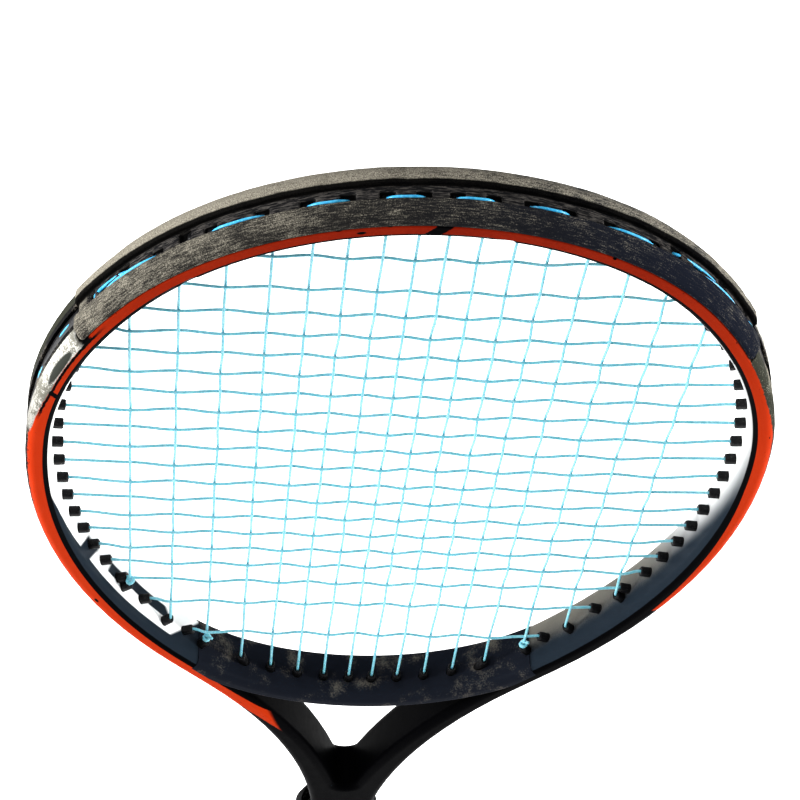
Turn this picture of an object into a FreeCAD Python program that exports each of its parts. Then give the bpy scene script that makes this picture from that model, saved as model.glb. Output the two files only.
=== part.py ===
import FreeCAD, Part
import math
import os

# Tennis racket. Millimetres. The racket stands upright: +Z runs from the butt to the tip, the string
# plane is XZ at y = 0, and the origin is the centre of the butt cap's end face.

# Head outline: three tangent arcs on each side from the tip down, then the bridge arc that closes it.
TIP_Z = 674.0
HEAD_RADII = (112.0, 164.0, 250.0)
HEAD_TURNS_DEG = (52.7, 32.6, 41.8)

# Hollow frame tube
RIM = 9.0
HALF_BEAM = 11.0
EDGE_R = 3.5
WALL = 1.4
CHANNEL_HALF = 3.2
CHANNEL_FLOOR = 6.8
GUARDED_RIM = 6.8

# Throat arms, shafts and handle stub
ARM_STRAIGHT = 25.0
ARM_INNER_R = 315.0
SHAFT_HALF = 12.0
CROTCH_R = 5.0
HANDLE_TOP = 186.0
STUB_BOTTOM = 22.0
STUB_CHAMFER = 4.75
CORE_HALF_Y = 6.0
CORE_X = (1.6, 9.2)

# Throat bridge
BRIDGE_RIM = 7.5
BRIDGE_CHANNEL = 5.5
BRIDGE_START_DEG = 4.7
LAST_BRIDGE_SLANT_DEG = 13.4

# Bumper guard and grommet strips
GUARD_END_DEG = 62.9
GUARD_BASE = 7.0
GUARD_TOP = 11.0
GUARD_FLOOR = 9.0
STRIP_BASE = (6.9, 7.9)
STRIP_HALF = 3.0
BRIDGE_STRIP = (5.6, 6.6)
BARREL_R = 1.9
BARREL_BORE_R = 0.9
BARREL_HOLE_R = 2.05
BARREL_STANDS_IN = 4.0
BARREL_SLANT = 0.3

# Strings
STRING_R = 0.65
WEAVE = 0.8
LANE = 0.9
LOOP_GAP = 0.7
MAIN_X = (4.8, 15.3, 26.4, 37.7, 50.3, 64.6, 79.4, 95.4)
CROSS_TOP_Z = 646.4
CROSS_GAPS = (18.5, 14.8, 13.1) + (12.68,) * 13 + (14.1, 17.9, 26.7)
LAST_BRIDGE_MAIN = 4

# Handle
PALLET_X, PALLET_Y, PALLET_C = 30.5, 26.5, 7.4
PALLET_TOP = 184.0
NECK_X, NECK_Y, NECK_C = 28.7, 24.7, 6.6
CAP_TOP = 26.0
CAP_FLOOR = 3.6
CAP_FLARE = 8.5
GRIP_BOTTOM, GRIP_TOP = 7.0, 184.0
GRIP_WALL = 1.6
FIT = 0.15
TAPE_BOTTOM = 166.0
COLLAR_BOTTOM, COLLAR_TOP = 174.0, 192.0
COLLAR_LIP = 2.0
DOOR_X, DOOR_Y, DOOR_T = 16.6, 11.6, 2.0
DOOR_INSET = 0.4
DOOR_GAP = 0.2
HINGE_PIN_R = 0.7

# Small sizes
OVERCUT = 1.0
HOLE_RUN_OUT = 3.0
CHAMFER_GROWTH = 0.6
GUARD_SEAT_R = 0.8
ARM_INSET = 1.6
CAVITY_FOOT = 14.0
BRIDGE_OUTER_R = 2.0
GUARD_HALF = 10.9
GUARD_SHOULDER_Y = 7.0
GUARD_LIP = 2.8
GUARD_SIDE = 1.2
GUARD_CORNER_R, GUARD_SHOULDER_R, GUARD_LIP_R, GUARD_FLOOR_R = 2.5, 3.0, 0.7, 0.5
STRIP_EDGE_R = 0.3
GUARD_ROOT = 0.6
STRIP_ROOT = 0.4
MOUTH_MARGIN = 4.0
STRIP_START_DEG = 0.5
THROAT_STRIP_START_DEG = 22.4
WEAVE_BEND_R = 10.0
MOUTH_BEND_R = 2.0
LOOP_STEP = 6.0
LOOP_INSET = STRING_R + 0.35
KNOT_R = 1.5
KNOT_BORE_R = 0.8
KNOT_LENGTH = 2.6
KNOT_STANDS_OFF = 1.6
STAPLE_WIRE = 0.5
STAPLE_SPAN = 9.0
STAPLE_LEG = 2.7
STAPLE_GAP = 0.1
STAPLE_SUNK = 0.4
STAPLE_Z = 19.0
PALLET_SEAM = 0.1
PIN_LENGTH = 1.5
PIN_GAP = 0.06
PIN_END_GAP = 0.2
NOTCH_R = 2.0
CAP_EDGE = 1.2
WEIGHT_Z = (6.0, 20.0)
TAPE_WALL = 0.3
COLLAR_CLEARANCE = 0.3
COLLAR_MOUTH_X = 16.2
COLLAR_MOUTH_Y = 11.7
COLLAR_WALLS = ((0.0, 0.7), (3.0, 1.4), (13.0, 1.4), (17.0, 0.6), (18.0, 0.0))
KNOT_EDGE_R = 0.6

V = FreeCAD.Vector
Y_AXIS = V(0, 1, 0)
os.makedirs("parts", exist_ok=True)


# ---------- outline of the head ----------

def normal(heading):
    """Outward normal of the right-hand outline. The heading is 0 at the tip and grows clockwise."""
    return V(math.sin(heading), 0, math.cos(heading))


def tangent(heading):
    return V(math.cos(heading), 0, -math.sin(heading))


def head_arcs():
    """(centre, radius, first heading, last heading) for each arc of the right half, tip to bridge."""
    arcs = []
    point = V(0, 0, TIP_Z)
    heading = 0.0
    for radius, turn in zip(HEAD_RADII, HEAD_TURNS_DEG):
        centre = point - normal(heading) * radius
        last = heading + math.radians(turn)
        arcs.append((centre, radius, heading, last))
        heading = last
        point = centre + normal(heading) * radius
    radius = point.x / math.sin(heading)
    arcs.append((point - normal(heading) * radius, radius, heading, math.pi))
    return arcs


ARCS = head_arcs()
BRIDGE_ARC = ARCS[3]
ARM_HEADING = ARCS[2][3]
ARM_START = ARCS[2][0] + normal(ARM_HEADING) * ARCS[2][1]
ARM_OUT = normal(ARM_HEADING)
ARM_DOWN = tangent(ARM_HEADING)
GUARD_END = math.radians(GUARD_END_DEG)


def outside_offset(point):
    """How far a point on the right lies outside the line of the hoop and the straight of the arm."""
    from_arm = point - ARM_START
    if from_arm.dot(ARM_DOWN) > 0:
        return from_arm.dot(ARM_OUT), ARM_OUT
    for centre, radius, first, last in ARCS[:3]:
        spoke = point - V(centre.x, point.y, centre.z)
        if math.atan2(spoke.x, spoke.z) <= last:
            return spoke.Length - radius, spoke.normalize()
    return from_arm.dot(ARM_OUT), ARM_OUT


def bridge_offset(point):
    centre, radius = BRIDGE_ARC[:2]
    spoke = point - V(centre.x, point.y, centre.z)
    return spoke.Length - radius, spoke.normalize()


def reach(start, direction, offset, measure):
    """Distance from start along direction to the given offset."""
    low, high = 0.0, 40.0
    for _ in range(40):
        middle = (low + high) / 2
        if measure(start + direction * middle)[0] < offset:
            low = middle
        else:
            high = middle
    return low


def outline_heading(offset, x=None, z=None, lower=False):
    """The arc and heading where the offset outline crosses a given x or z on the right."""
    for index, (centre, radius, first, last) in enumerate(ARCS):
        span = radius + offset
        if x is None:
            ratio = (z - centre.z) / span
            options = [math.acos(ratio)] if abs(ratio) <= 1 else []
        else:
            ratio = (x - centre.x) / span
            up = math.asin(ratio) if abs(ratio) <= 1 else None
            options = [] if up is None else [math.pi - up if lower else up]
        for heading in options:
            if first - 1e-9 <= heading <= last + 1e-9:
                return index, heading, centre + normal(heading) * span
    raise ValueError("no such point on the outline")


# ---------- shape helpers ----------

def mirrored(shape):
    return shape.mirror(V(0, 0, 0), V(1, 0, 0))


def corner(before, point, after, radius):
    """Tangent points and middle of the arc that rounds a corner. Radius None is as large as fits."""
    back, ahead = before - point, after - point
    shorter = min(back.Length, ahead.Length)
    back.normalize()
    ahead.normalize()
    half = back.getAngle(ahead) / 2
    largest = 0.45 * shorter * math.tan(half)
    radius = largest if radius is None else min(radius, largest)
    along = radius / math.tan(half)
    bisector = (back + ahead).normalize()
    middle = point + bisector * (radius / math.sin(half) - radius)
    return point + back * along, middle, point + ahead * along


def rounded_edges(points, radii, closed=False):
    """Straight runs joined by tangent arcs. A radius of 0 keeps a corner sharp."""
    count = len(points)
    starts, ends, arcs = [], [], []
    for i, point in enumerate(points):
        at_end = not closed and i in (0, count - 1)
        if at_end or radii[i] == 0:
            starts.append(point)
            ends.append(point)
            continue
        first, middle, last = corner(points[i - 1], point, points[(i + 1) % count], radii[i])
        starts.append(first)
        ends.append(last)
        arcs.append((i, Part.Arc(first, middle, last).toShape()))
    arcs = dict(arcs)
    edges = []
    for i in range(count):
        if i in arcs:
            edges.append(arcs[i])
        if i < count - 1 or closed:
            nxt = starts[(i + 1) % count]
            if (nxt - ends[i]).Length > 1e-6:
                edges.append(Part.LineSegment(ends[i], nxt).toShape())
    return edges


def tube(points, radii, radius):
    """A round cord along straight runs and tangent arcs."""
    path = Part.Wire(rounded_edges(points, radii))
    first = path.OrderedEdges[0]
    circle = Part.Circle(points[0], first.tangentAt(first.FirstParameter), radius).toShape()
    shape = path.makePipeShell([Part.Wire([circle])], True, False)
    expected = math.pi * radius ** 2 * path.Length
    assert abs(shape.Volume / expected - 1) < 0.01, "a cord's volume is off"
    return shape


def section_face(section, radii, arc, heading):
    """A profile given as (offset outside the outline, y), standing across the rim at a heading."""
    centre, radius = arc[0], arc[1]
    out = normal(heading)
    points = [centre + out * (radius + d) + V(0, y, 0) for d, y in section]
    return Part.Face(Part.Wire(rounded_edges(points, radii, closed=True)))


def rim_piece(section, radii, arc, first, last):
    face = section_face(section, radii, arc, first)
    return face.revolve(arc[0], Y_AXIS, math.degrees(last - first))


def arm_piece(section, radii, length):
    """A profile carried down the straight part of the right arm."""
    face = section_face(section, radii, ARCS[2], ARM_HEADING)
    return face.extrude(ARM_DOWN * length)


def box_section(low, high, half, radius=0.0):
    return [(low, -half), (low, half), (high, half), (high, -half)], [radius] * 4


def octagon(x, y, chamfer, z):
    a, b = x / 2, y / 2
    points = []
    for sx, sy, swap in ((1, -1, 0), (1, 1, 1), (-1, 1, 0), (-1, -1, 1)):
        side = V(sx * a, sy * (b - chamfer), z)
        end = V(sx * (a - chamfer), sy * b, z)
        points += [side, end] if swap else [end, side]
    return Part.makePolygon(points + [points[0]])


def octagon_prism(x, y, chamfer, bottom, top):
    return Part.Face(octagon(x, y, chamfer, bottom)).extrude(V(0, 0, top - bottom))


def block(x, y, z, centre):
    return Part.makeBox(x, y, z, centre - V(x / 2, y / 2, z / 2))


def save(name, shape):
    if isinstance(shape, list):
        shape = Part.makeCompound(shape)
    assert shape.isValid(), name
    shape.exportStep("parts/" + name + ".step")
    print(name, "solids", len(shape.Solids), "volume", round(shape.Volume, 1))


# ---------- where each string passes the rim ----------

def barrel_line(x=None, z=None, lower=False):
    """Mouth and direction of the barrel that takes a string end on the right side of the head."""
    index, heading, mouth = outline_heading(-BARREL_STANDS_IN, x, z, lower)
    if x is None:
        along = V(1, 0, 0)
    else:
        along = V(0, 0, -1 if lower else 1)
    if index == 3 and x <= MAIN_X[LAST_BRIDGE_MAIN]:
        slant = math.radians(LAST_BRIDGE_SLANT_DEG) if x == MAIN_X[LAST_BRIDGE_MAIN] else 0.0
        return mouth, V(-math.sin(slant), 0, -math.cos(slant)), "bridge"
    direction = normal(heading) * (1 - BARREL_SLANT) + along * BARREL_SLANT
    guarded = heading < GUARD_END
    return mouth, direction.normalize(), "guard" if guarded else "side"


HOLDERS = {
    "guard": (GUARD_BASE + GUARD_ROOT, GUARD_FLOOR + LOOP_GAP, outside_offset),
    "side": (STRIP_BASE[0] + STRIP_ROOT, STRIP_BASE[1] + LOOP_GAP, outside_offset),
    "bridge": (BRIDGE_STRIP[0] + STRIP_ROOT, BRIDGE_STRIP[1] + LOOP_GAP, bridge_offset),
}


def string_end(lane, x=None, z=None, lower=False):
    """One string end: mouth, direction, holder, barrel length and the point where its loop lies."""
    mouth, direction, holder = barrel_line(x, z, lower)
    mouth = mouth + V(0, lane, 0)
    root, loop, measure = HOLDERS[holder]
    length = reach(mouth, direction, root, measure)
    exit_point = mouth + direction * reach(mouth, direction, loop, measure)
    return {"mouth": mouth, "dir": direction, "holder": holder, "length": length, "exit": exit_point}


CROSS_Z = [CROSS_TOP_Z]
for gap in CROSS_GAPS:
    CROSS_Z.append(CROSS_Z[-1] - gap)

TOP_ENDS = [string_end(-LANE, x=x) for x in MAIN_X]
LOW_ENDS = [string_end(-LANE, x=x, lower=True) for x in MAIN_X]
SIDE_ENDS = [string_end(LANE, z=z) for z in CROSS_Z]
ALL_ENDS = TOP_ENDS + LOW_ENDS + SIDE_ENDS


def both_sides(shapes):
    return shapes + [mirrored(s) for s in shapes]


def barrels(holder, radius, before=0.0, beyond=0.0):
    """Cylinders on every barrel axis of one holder on the right, longer at either end if asked."""
    shapes = []
    for end in ALL_ENDS:
        if end["holder"] == holder:
            start = end["mouth"] - end["dir"] * before
            height = end["length"] + before + beyond
            shapes.append(Part.makeCylinder(radius, height, start, end["dir"]))
    return shapes


# ---------- frame ----------

def arm_outline(inset):
    """Front view of the right arm, shaft and stub. With an inset it is the hollow inside the arm."""
    run = ARM_DOWN * ARM_STRAIGHT
    inner_start = ARM_START + ARM_OUT * inset
    outer_start = ARM_START + ARM_OUT * (RIM - inset)
    outer_bend = ARM_START + ARM_OUT * RIM + run
    outer_r = (outer_bend.x - SHAFT_HALF) / (1 - ARM_OUT.x)
    outer_centre = outer_bend + ARM_OUT * outer_r
    inner_centre = ARM_START + run + ARM_OUT * ARM_INNER_R
    outer_r += inset
    inner_r = ARM_INNER_R - inset
    first = math.atan2(-ARM_OUT.z, ARM_OUT.x)

    def on_arc(centre, radius, turn):
        return centre + V(-math.cos(turn), 0, math.sin(turn)) * radius

    outer_end = on_arc(outer_centre, outer_r, 0)
    outer_middle = on_arc(outer_centre, outer_r, first / 2)
    crotch = []
    if inset:
        floor = HANDLE_TOP + CAVITY_FOOT
        last = math.acos((inner_centre.x - CORE_X[0]) / inner_r)
        inner_end = column_top = on_arc(inner_centre, inner_r, last)
    else:
        floor = STUB_BOTTOM
        rise = math.sqrt((ARM_INNER_R + CROTCH_R) ** 2 - inner_centre.x ** 2)
        last = math.atan2(rise, inner_centre.x)
        crotch_centre = V(0, 0, inner_centre.z + rise)
        inner_end = on_arc(inner_centre, inner_r, last)
        turn = (math.pi / 2 + last) / 2
        middle = crotch_centre + V(math.cos(turn), 0, -math.sin(turn)) * CROTCH_R
        column_top = crotch_centre - V(0, 0, CROTCH_R)
        crotch = [Part.Arc(inner_end, middle, column_top).toShape()]
    inner_middle = on_arc(inner_centre, inner_r, (first + last) / 2)
    foot_in = V(column_top.x, 0, floor)
    foot_out = V(outer_end.x, 0, floor)
    return Part.Wire([
        Part.LineSegment(inner_start, inner_start + run).toShape(),
        Part.Arc(inner_start + run, inner_middle, inner_end).toShape(),
        *crotch,
        Part.LineSegment(column_top, foot_in).toShape(),
        Part.LineSegment(foot_in, foot_out).toShape(),
        Part.LineSegment(foot_out, outer_end).toShape(),
        Part.Arc(outer_end, outer_middle, outer_start + run).toShape(),
        Part.LineSegment(outer_start + run, outer_start).toShape(),
        Part.LineSegment(outer_start, inner_start).toShape(),
    ])


def extruded(wire, half_depth):
    wire.translate(V(0, -half_depth, 0))
    return Part.Face(wire).extrude(V(0, 2 * half_depth, 0))


def right_arm():
    solid = extruded(arm_outline(0), HALF_BEAM)
    mouth = ARM_START + ARM_OUT * (RIM / 2)
    rounded = []
    for edge in solid.Edges:
        middle = edge.valueAt((edge.FirstParameter + edge.LastParameter) / 2)
        on_face = abs(abs(middle.y) - HALF_BEAM) < 1e-6
        at_mouth = math.hypot(middle.x - mouth.x, middle.z - mouth.z) < 1e-3
        at_foot = abs(middle.z - STUB_BOTTOM) < 1e-6
        if on_face and not at_mouth and not at_foot and middle.x > 1e-6:
            rounded.append(edge)
    return solid.makeFillet(EDGE_R, rounded)


def open_rim_section():
    half, mouth = HALF_BEAM, CHANNEL_HALF
    points = [(0, -half), (0, half), (RIM, half), (RIM, mouth), (CHANNEL_FLOOR, mouth),
              (CHANNEL_FLOOR, -mouth), (RIM, -mouth), (RIM, -half)]
    return points, [EDGE_R, EDGE_R, EDGE_R, 0, 0, 0, 0, EDGE_R]


def open_rim_hollow():
    half, mouth = HALF_BEAM - WALL, CHANNEL_HALF + WALL
    deep, shallow = RIM - WALL, CHANNEL_FLOOR - WALL
    points = [(WALL, -half), (WALL, half), (deep, half), (deep, mouth), (shallow, mouth),
              (shallow, -mouth), (deep, -mouth), (deep, -half)]
    round_r = EDGE_R - WALL
    return points, [round_r, round_r, round_r, 0, 0, 0, 0, round_r]


def guarded_rim_section():
    points, _ = box_section(0, GUARDED_RIM, HALF_BEAM)
    return points, [EDGE_R, EDGE_R, GUARD_SEAT_R, GUARD_SEAT_R]


def guarded_rim_hollow():
    return box_section(WALL, GUARDED_RIM - WALL, HALF_BEAM - WALL, EDGE_R - WALL)


def half_hoop(guarded, plain):
    """The right half of the hoop, from the tip to the start of the arm."""
    tip, shoulder, side = ARCS[:3]
    return [
        rim_piece(*guarded, tip, tip[2], tip[3]),
        rim_piece(*guarded, shoulder, shoulder[2], GUARD_END),
        rim_piece(*plain, shoulder, GUARD_END, shoulder[3]),
        rim_piece(*plain, side, side[2], side[3]),
    ]


def joined(shapes):
    return shapes[0].fuse(shapes[1:])


def make_frame():
    channel = arm_piece(*box_section(CHANNEL_FLOOR, RIM + OVERCUT, CHANNEL_HALF), ARM_STRAIGHT)
    half = joined(half_hoop(guarded_rim_section(), open_rim_section()) + [right_arm()])
    half = half.cut(channel)
    hollow_depth = HALF_BEAM - WALL
    channel_wall = box_section(CHANNEL_FLOOR - WALL, RIM + OVERCUT, CHANNEL_HALF + WALL)
    arm_hollow = extruded(arm_outline(ARM_INSET), hollow_depth)
    arm_hollow = arm_hollow.cut(arm_piece(*channel_wall, ARM_STRAIGHT + WALL))
    core_top = HANDLE_TOP + CAVITY_FOOT + OVERCUT
    core = Part.makeBox(CORE_X[1] - CORE_X[0], 2 * CORE_HALF_Y, core_top - STUB_BOTTOM,
                        V(CORE_X[0], -CORE_HALF_Y, STUB_BOTTOM))
    hollows = half_hoop(guarded_rim_hollow(), open_rim_hollow()) + [arm_hollow, core]
    holes = barrels("guard", BARREL_HOLE_R, beyond=HOLE_RUN_OUT)
    holes += barrels("side", BARREL_HOLE_R, beyond=HOLE_RUN_OUT)
    half = half.cut(hollows).cut(holes)
    frame = half.fuse(mirrored(half))
    around = block(6 * SHAFT_HALF, 6 * HALF_BEAM, HANDLE_TOP, V(0, 0, HANDLE_TOP / 2))
    stub = octagon_prism(2 * SHAFT_HALF, 2 * HALF_BEAM, STUB_CHAMFER, 0, HANDLE_TOP)
    return frame.cut(around.cut(stub))


def make_bridge():
    first = BRIDGE_ARC[2] + math.radians(BRIDGE_START_DEG)
    half_depth, mouth = HALF_BEAM, CHANNEL_HALF
    points = [(0, -half_depth), (0, half_depth), (BRIDGE_RIM, half_depth), (BRIDGE_RIM, mouth),
              (BRIDGE_CHANNEL, mouth), (BRIDGE_CHANNEL, -mouth), (BRIDGE_RIM, -mouth),
              (BRIDGE_RIM, -half_depth)]
    radii = [EDGE_R, EDGE_R, BRIDGE_OUTER_R, 0, 0, 0, 0, BRIDGE_OUTER_R]
    half = rim_piece(points, radii, BRIDGE_ARC, first, math.pi)
    hollow = rim_piece(*box_section(WALL, BRIDGE_CHANNEL - WALL, half_depth - WALL, WALL),
                       BRIDGE_ARC, first, math.pi)
    holes = barrels("bridge", BARREL_HOLE_R, beyond=HOLE_RUN_OUT)
    holes += barrels("side", BARREL_HOLE_R, beyond=HOLE_RUN_OUT)
    half = half.cut([hollow, right_arm()] + holes)
    return half.fuse(mirrored(half))


# ---------- bumper guard and grommet strips ----------

def with_barrels(base, holder, bore_beyond=HOLE_RUN_OUT):
    """A base strip with its barrels, each bored right through."""
    tubes = barrels(holder, BARREL_R)
    bores = barrels(holder, BARREL_BORE_R, before=OVERCUT, beyond=bore_beyond)
    return joined(base + tubes).cut(bores)


def make_bumper_guard():
    half, shoulder_y, lip = GUARD_HALF, GUARD_SHOULDER_Y, GUARD_LIP
    side_top = GUARD_BASE + GUARD_SIDE
    section = [(GUARD_BASE, -half), (GUARD_BASE, half), (side_top, half), (GUARD_TOP, shoulder_y),
               (GUARD_TOP, lip), (GUARD_FLOOR, lip), (GUARD_FLOOR, -lip), (GUARD_TOP, -lip),
               (GUARD_TOP, -shoulder_y), (side_top, -half)]
    outer_r = [GUARD_CORNER_R, GUARD_SHOULDER_R, GUARD_LIP_R, GUARD_FLOOR_R]
    radii = [0, 0] + outer_r + outer_r[::-1]
    tip, shoulder = ARCS[:2]
    base = [rim_piece(section, radii, tip, tip[2], tip[3]),
            rim_piece(section, radii, shoulder, shoulder[2], GUARD_END)]
    half_guard = with_barrels(base, "guard", GUARD_TOP - GUARD_BASE)
    return half_guard.fuse(mirrored(half_guard))


def make_side_strip():
    section = box_section(*STRIP_BASE, STRIP_HALF, STRIP_EDGE_R)
    shoulder, side = ARCS[1:3]
    start = GUARD_END + math.radians(STRIP_START_DEG)
    base = [rim_piece(*section, shoulder, start, shoulder[3]),
            rim_piece(*section, side, side[2], side[3]),
            arm_piece(*section, ARM_STRAIGHT - OVERCUT)]
    return with_barrels(base, "side")


def make_throat_strip():
    section = box_section(*BRIDGE_STRIP, STRIP_HALF, STRIP_EDGE_R)
    first = BRIDGE_ARC[2] + math.radians(THROAT_STRIP_START_DEG)
    half = with_barrels([rim_piece(*section, BRIDGE_ARC, first, math.pi)], "bridge")
    return half.fuse(mirrored(half))


# ---------- strings ----------

COLUMNS = [-x for x in reversed(MAIN_X)] + list(MAIN_X)


def cross_side(column, row):
    """1 where the cross passes behind the main, -1 in front of it and 0 where they don't meet.
    Close to a mouth each string keeps to its lane, so the cross is behind."""
    x = abs(COLUMNS[column])
    index = MAIN_X.index(x)
    z = CROSS_Z[row]
    room = min(SIDE_ENDS[row]["mouth"].x - x, z - LOW_ENDS[index]["mouth"].z, TOP_ENDS[index]["mouth"].z - z)
    if room < 0:
        return 0
    if room < MOUTH_MARGIN:
        return 1
    return -1 if (row + column) % 2 else 1


def crossing(column, row, side):
    """The bend of a string at a crossing."""
    return V(COLUMNS[column], side * WEAVE, CROSS_Z[row])


def run_with_legs(first_end, last_end, crossings):
    """The run, bent at each crossing and into both barrels, and out to the level of the loops."""
    legs = [end["exit"] + end["dir"] * STRING_R for end in (first_end, last_end)]
    points = [legs[0], first_end["mouth"]] + crossings + [last_end["mouth"], legs[1]]
    radii = [0, MOUTH_BEND_R] + [WEAVE_BEND_R] * len(crossings) + [MOUTH_BEND_R, 0]
    return tube(points, radii, STRING_R)


def flipped(end):
    """The same string end on the left of the head."""
    other = dict(end)
    for key in ("mouth", "dir", "exit"):
        other[key] = V(-end[key].x, end[key].y, end[key].z)
    return other


def loop(one, two, measure, offset):
    """The stretch outside the rim between two neighbouring barrels, both on the right."""
    count = max(2, round((two - one).Length / LOOP_STEP))
    levels = [measure(one)[0]] + [offset] * (count - 1) + [measure(two)[0]]
    chord = (two - one).normalize()
    start = one + chord * LOOP_INSET
    stop = two - chord * LOOP_INSET
    points = []
    for i, level in enumerate(levels):
        point = start + (stop - start) * (i / count)
        distance, out = measure(point)
        points.append(point + out * (level - distance))
    return tube(points, [None] * len(points), STRING_R)


def loops(ends, pairs):
    shapes = []
    for i, k in pairs:
        _, offset, measure = HOLDERS[ends[i]["holder"]]
        if ends[i]["holder"] != ends[k]["holder"]:
            offset = HOLDERS["guard"][1]
        shapes.append(loop(ends[i]["exit"], ends[k]["exit"], measure, offset))
    return shapes


def make_mains():
    solids = []
    rows = range(len(CROSS_Z))
    for column, x in enumerate(COLUMNS):
        index = MAIN_X.index(abs(x))
        high, low = TOP_ENDS[index], LOW_ENDS[index]
        if x < 0:
            high, low = flipped(high), flipped(low)
        sides = [cross_side(column, row) for row in rows]
        crossings = [crossing(column, row, -sides[row]) for row in rows if sides[row]]
        solids.append(run_with_legs(high, low, crossings))
    solids += both_sides(loops(TOP_ENDS, [(0, 1), (2, 3), (4, 5), (6, 7)]))
    solids += both_sides(loops(LOW_ENDS, [(1, 2), (3, 4), (5, 6)]))
    _, offset, measure = HOLDERS["bridge"]
    solids.append(loop(flipped(LOW_ENDS[0])["exit"], LOW_ENDS[0]["exit"], measure, offset))
    return solids


def make_crosses():
    solids = []
    columns = range(len(COLUMNS))
    for row, end in enumerate(SIDE_ENDS):
        sides = [cross_side(column, row) for column in columns]
        crossings = [crossing(column, row, sides[column]) for column in columns if sides[column]]
        solids.append(run_with_legs(flipped(end), end, crossings))
    last = len(CROSS_Z) - 1
    solids += loops(SIDE_ENDS, [(i, i + 1) for i in range(0, last, 2)])
    solids += [mirrored(s) for s in loops(SIDE_ENDS, [(i, i + 1) for i in range(1, last, 2)])]
    return solids


def next_crossing(column, upward):
    """The first bend of a main after its lower mouth, or after its upper one."""
    rows = range(len(CROSS_Z))
    for row in reversed(rows) if upward else rows:
        side = cross_side(column, row)
        if side:
            return crossing(column, row, -side)


def make_knots(neighbours):
    """Tie-off knots: each hugs the string that it is tied round, just inside the barrel, and gives way
    to what else it touches."""
    places = [(LOW_ENDS, 5, 1), (LOW_ENDS, 5, -1), (LOW_ENDS, 7, -1), (TOP_ENDS, 6, -1)]
    solids = []
    for ends, index, sign in places:
        mouth = ends[index]["mouth"]
        mouth = V(sign * mouth.x, mouth.y, mouth.z)
        column = COLUMNS.index(sign * MAIN_X[index])
        way = (next_crossing(column, ends is LOW_ENDS) - mouth).normalize()
        at = mouth + way * KNOT_STANDS_OFF
        outer = Part.makeCylinder(KNOT_R, KNOT_LENGTH, at, way)
        outer = outer.makeFillet(KNOT_EDGE_R, [e for e in outer.Edges if len(e.Vertexes) == 1])
        knot = outer.cut(Part.makeCylinder(KNOT_BORE_R, KNOT_LENGTH, at, way))
        solids.append(knot.cut([n for n in neighbours if n.BoundBox.intersect(knot.BoundBox)]))
    return solids


# ---------- handle ----------

def loft(sections):
    return Part.makeLoft([octagon(*s) for s in sections], True, True)


def flare(z):
    return CAP_FLARE * max(0.0, 1 - z / CAP_TOP) ** 2


def flared_sections(bottom, top, grow):
    """Octagons that follow the butt cap's flare and then the pallets, grown all round."""
    steps = [bottom + (CAP_TOP - bottom) * i / 5 for i in range(6)]
    sections = []
    for z in steps + ([top] if top > CAP_TOP else []):
        extra = flare(z) + 2 * grow
        chamfer = PALLET_C + CHAMFER_GROWTH * extra / 2
        sections.append((PALLET_X + extra, PALLET_Y + extra, chamfer, z))
    return sections


def staple(side, grow):
    crown = block(STAPLE_WIRE + 2 * grow, STAPLE_SPAN + 2 * grow, STAPLE_WIRE + 2 * grow, side)
    inward = -1 if side.x > 0 else 1
    legs = [crown]
    for sign in (1, -1):
        middle = side + V(inward * STAPLE_LEG / 2, sign * (STAPLE_SPAN - STAPLE_WIRE) / 2, 0)
        legs.append(block(STAPLE_LEG + STAPLE_WIRE + 2 * grow, STAPLE_WIRE + 2 * grow,
                          STAPLE_WIRE + 2 * grow, middle))
    return joined(legs)


def staples(grow=0.0):
    face_x = (PALLET_X + flare(STAPLE_Z)) / 2 - STAPLE_SUNK
    return [staple(V(sign * face_x, 0, STAPLE_Z), grow) for sign in (1, -1)]


def make_pallets():
    """The front shell and the back shell, with a seam between them."""
    body = octagon_prism(PALLET_X, PALLET_Y, PALLET_C, CAP_TOP, PALLET_TOP)
    neck = octagon_prism(NECK_X, NECK_Y, NECK_C, CAP_FLOOR + FIT, CAP_TOP)
    pocket = octagon_prism(2 * SHAFT_HALF + 2 * FIT, 2 * HALF_BEAM + 2 * FIT, STUB_CHAMFER,
                           0, PALLET_TOP + OVERCUT)
    whole = body.fuse(neck).cut([pocket] + staples(STAPLE_GAP))
    back = Part.makeBox(2 * PALLET_X, PALLET_Y, PALLET_TOP + OVERCUT, V(-PALLET_X, -PALLET_SEAM / 2, 0))
    return whole.cut(back), whole.cut(back.mirror(V(0, 0, 0), Y_AXIS))


def hinge_centre():
    return V(0, DOOR_Y / 2 - DOOR_T / 2, DOOR_INSET + DOOR_T / 2)


def make_butt_cap():
    narrowed = flare(0) - 2 * CAP_EDGE
    rim = (PALLET_X + narrowed, PALLET_Y + narrowed, PALLET_C + CAP_EDGE, 0)
    outer = loft([rim] + flared_sections(CAP_EDGE, CAP_TOP, 0))
    bowl = octagon_prism(NECK_X + 2 * FIT, NECK_Y + 2 * FIT, NECK_C, CAP_FLOOR, CAP_TOP + OVERCUT)
    opening = block(DOOR_X + 2 * DOOR_GAP, DOOR_Y + 2 * DOOR_GAP, 2 * CAP_FLOOR, V(0, 0, 0))
    hinge = hinge_centre()
    pin_hole = DOOR_X / 2 + PIN_LENGTH + PIN_END_GAP
    pin = Part.makeCylinder(HINGE_PIN_R + PIN_GAP, 2 * pin_hole, hinge - V(pin_hole, 0, 0), V(1, 0, 0))
    return outer.cut([bowl, opening, pin] + staples(STAPLE_GAP))


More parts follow.
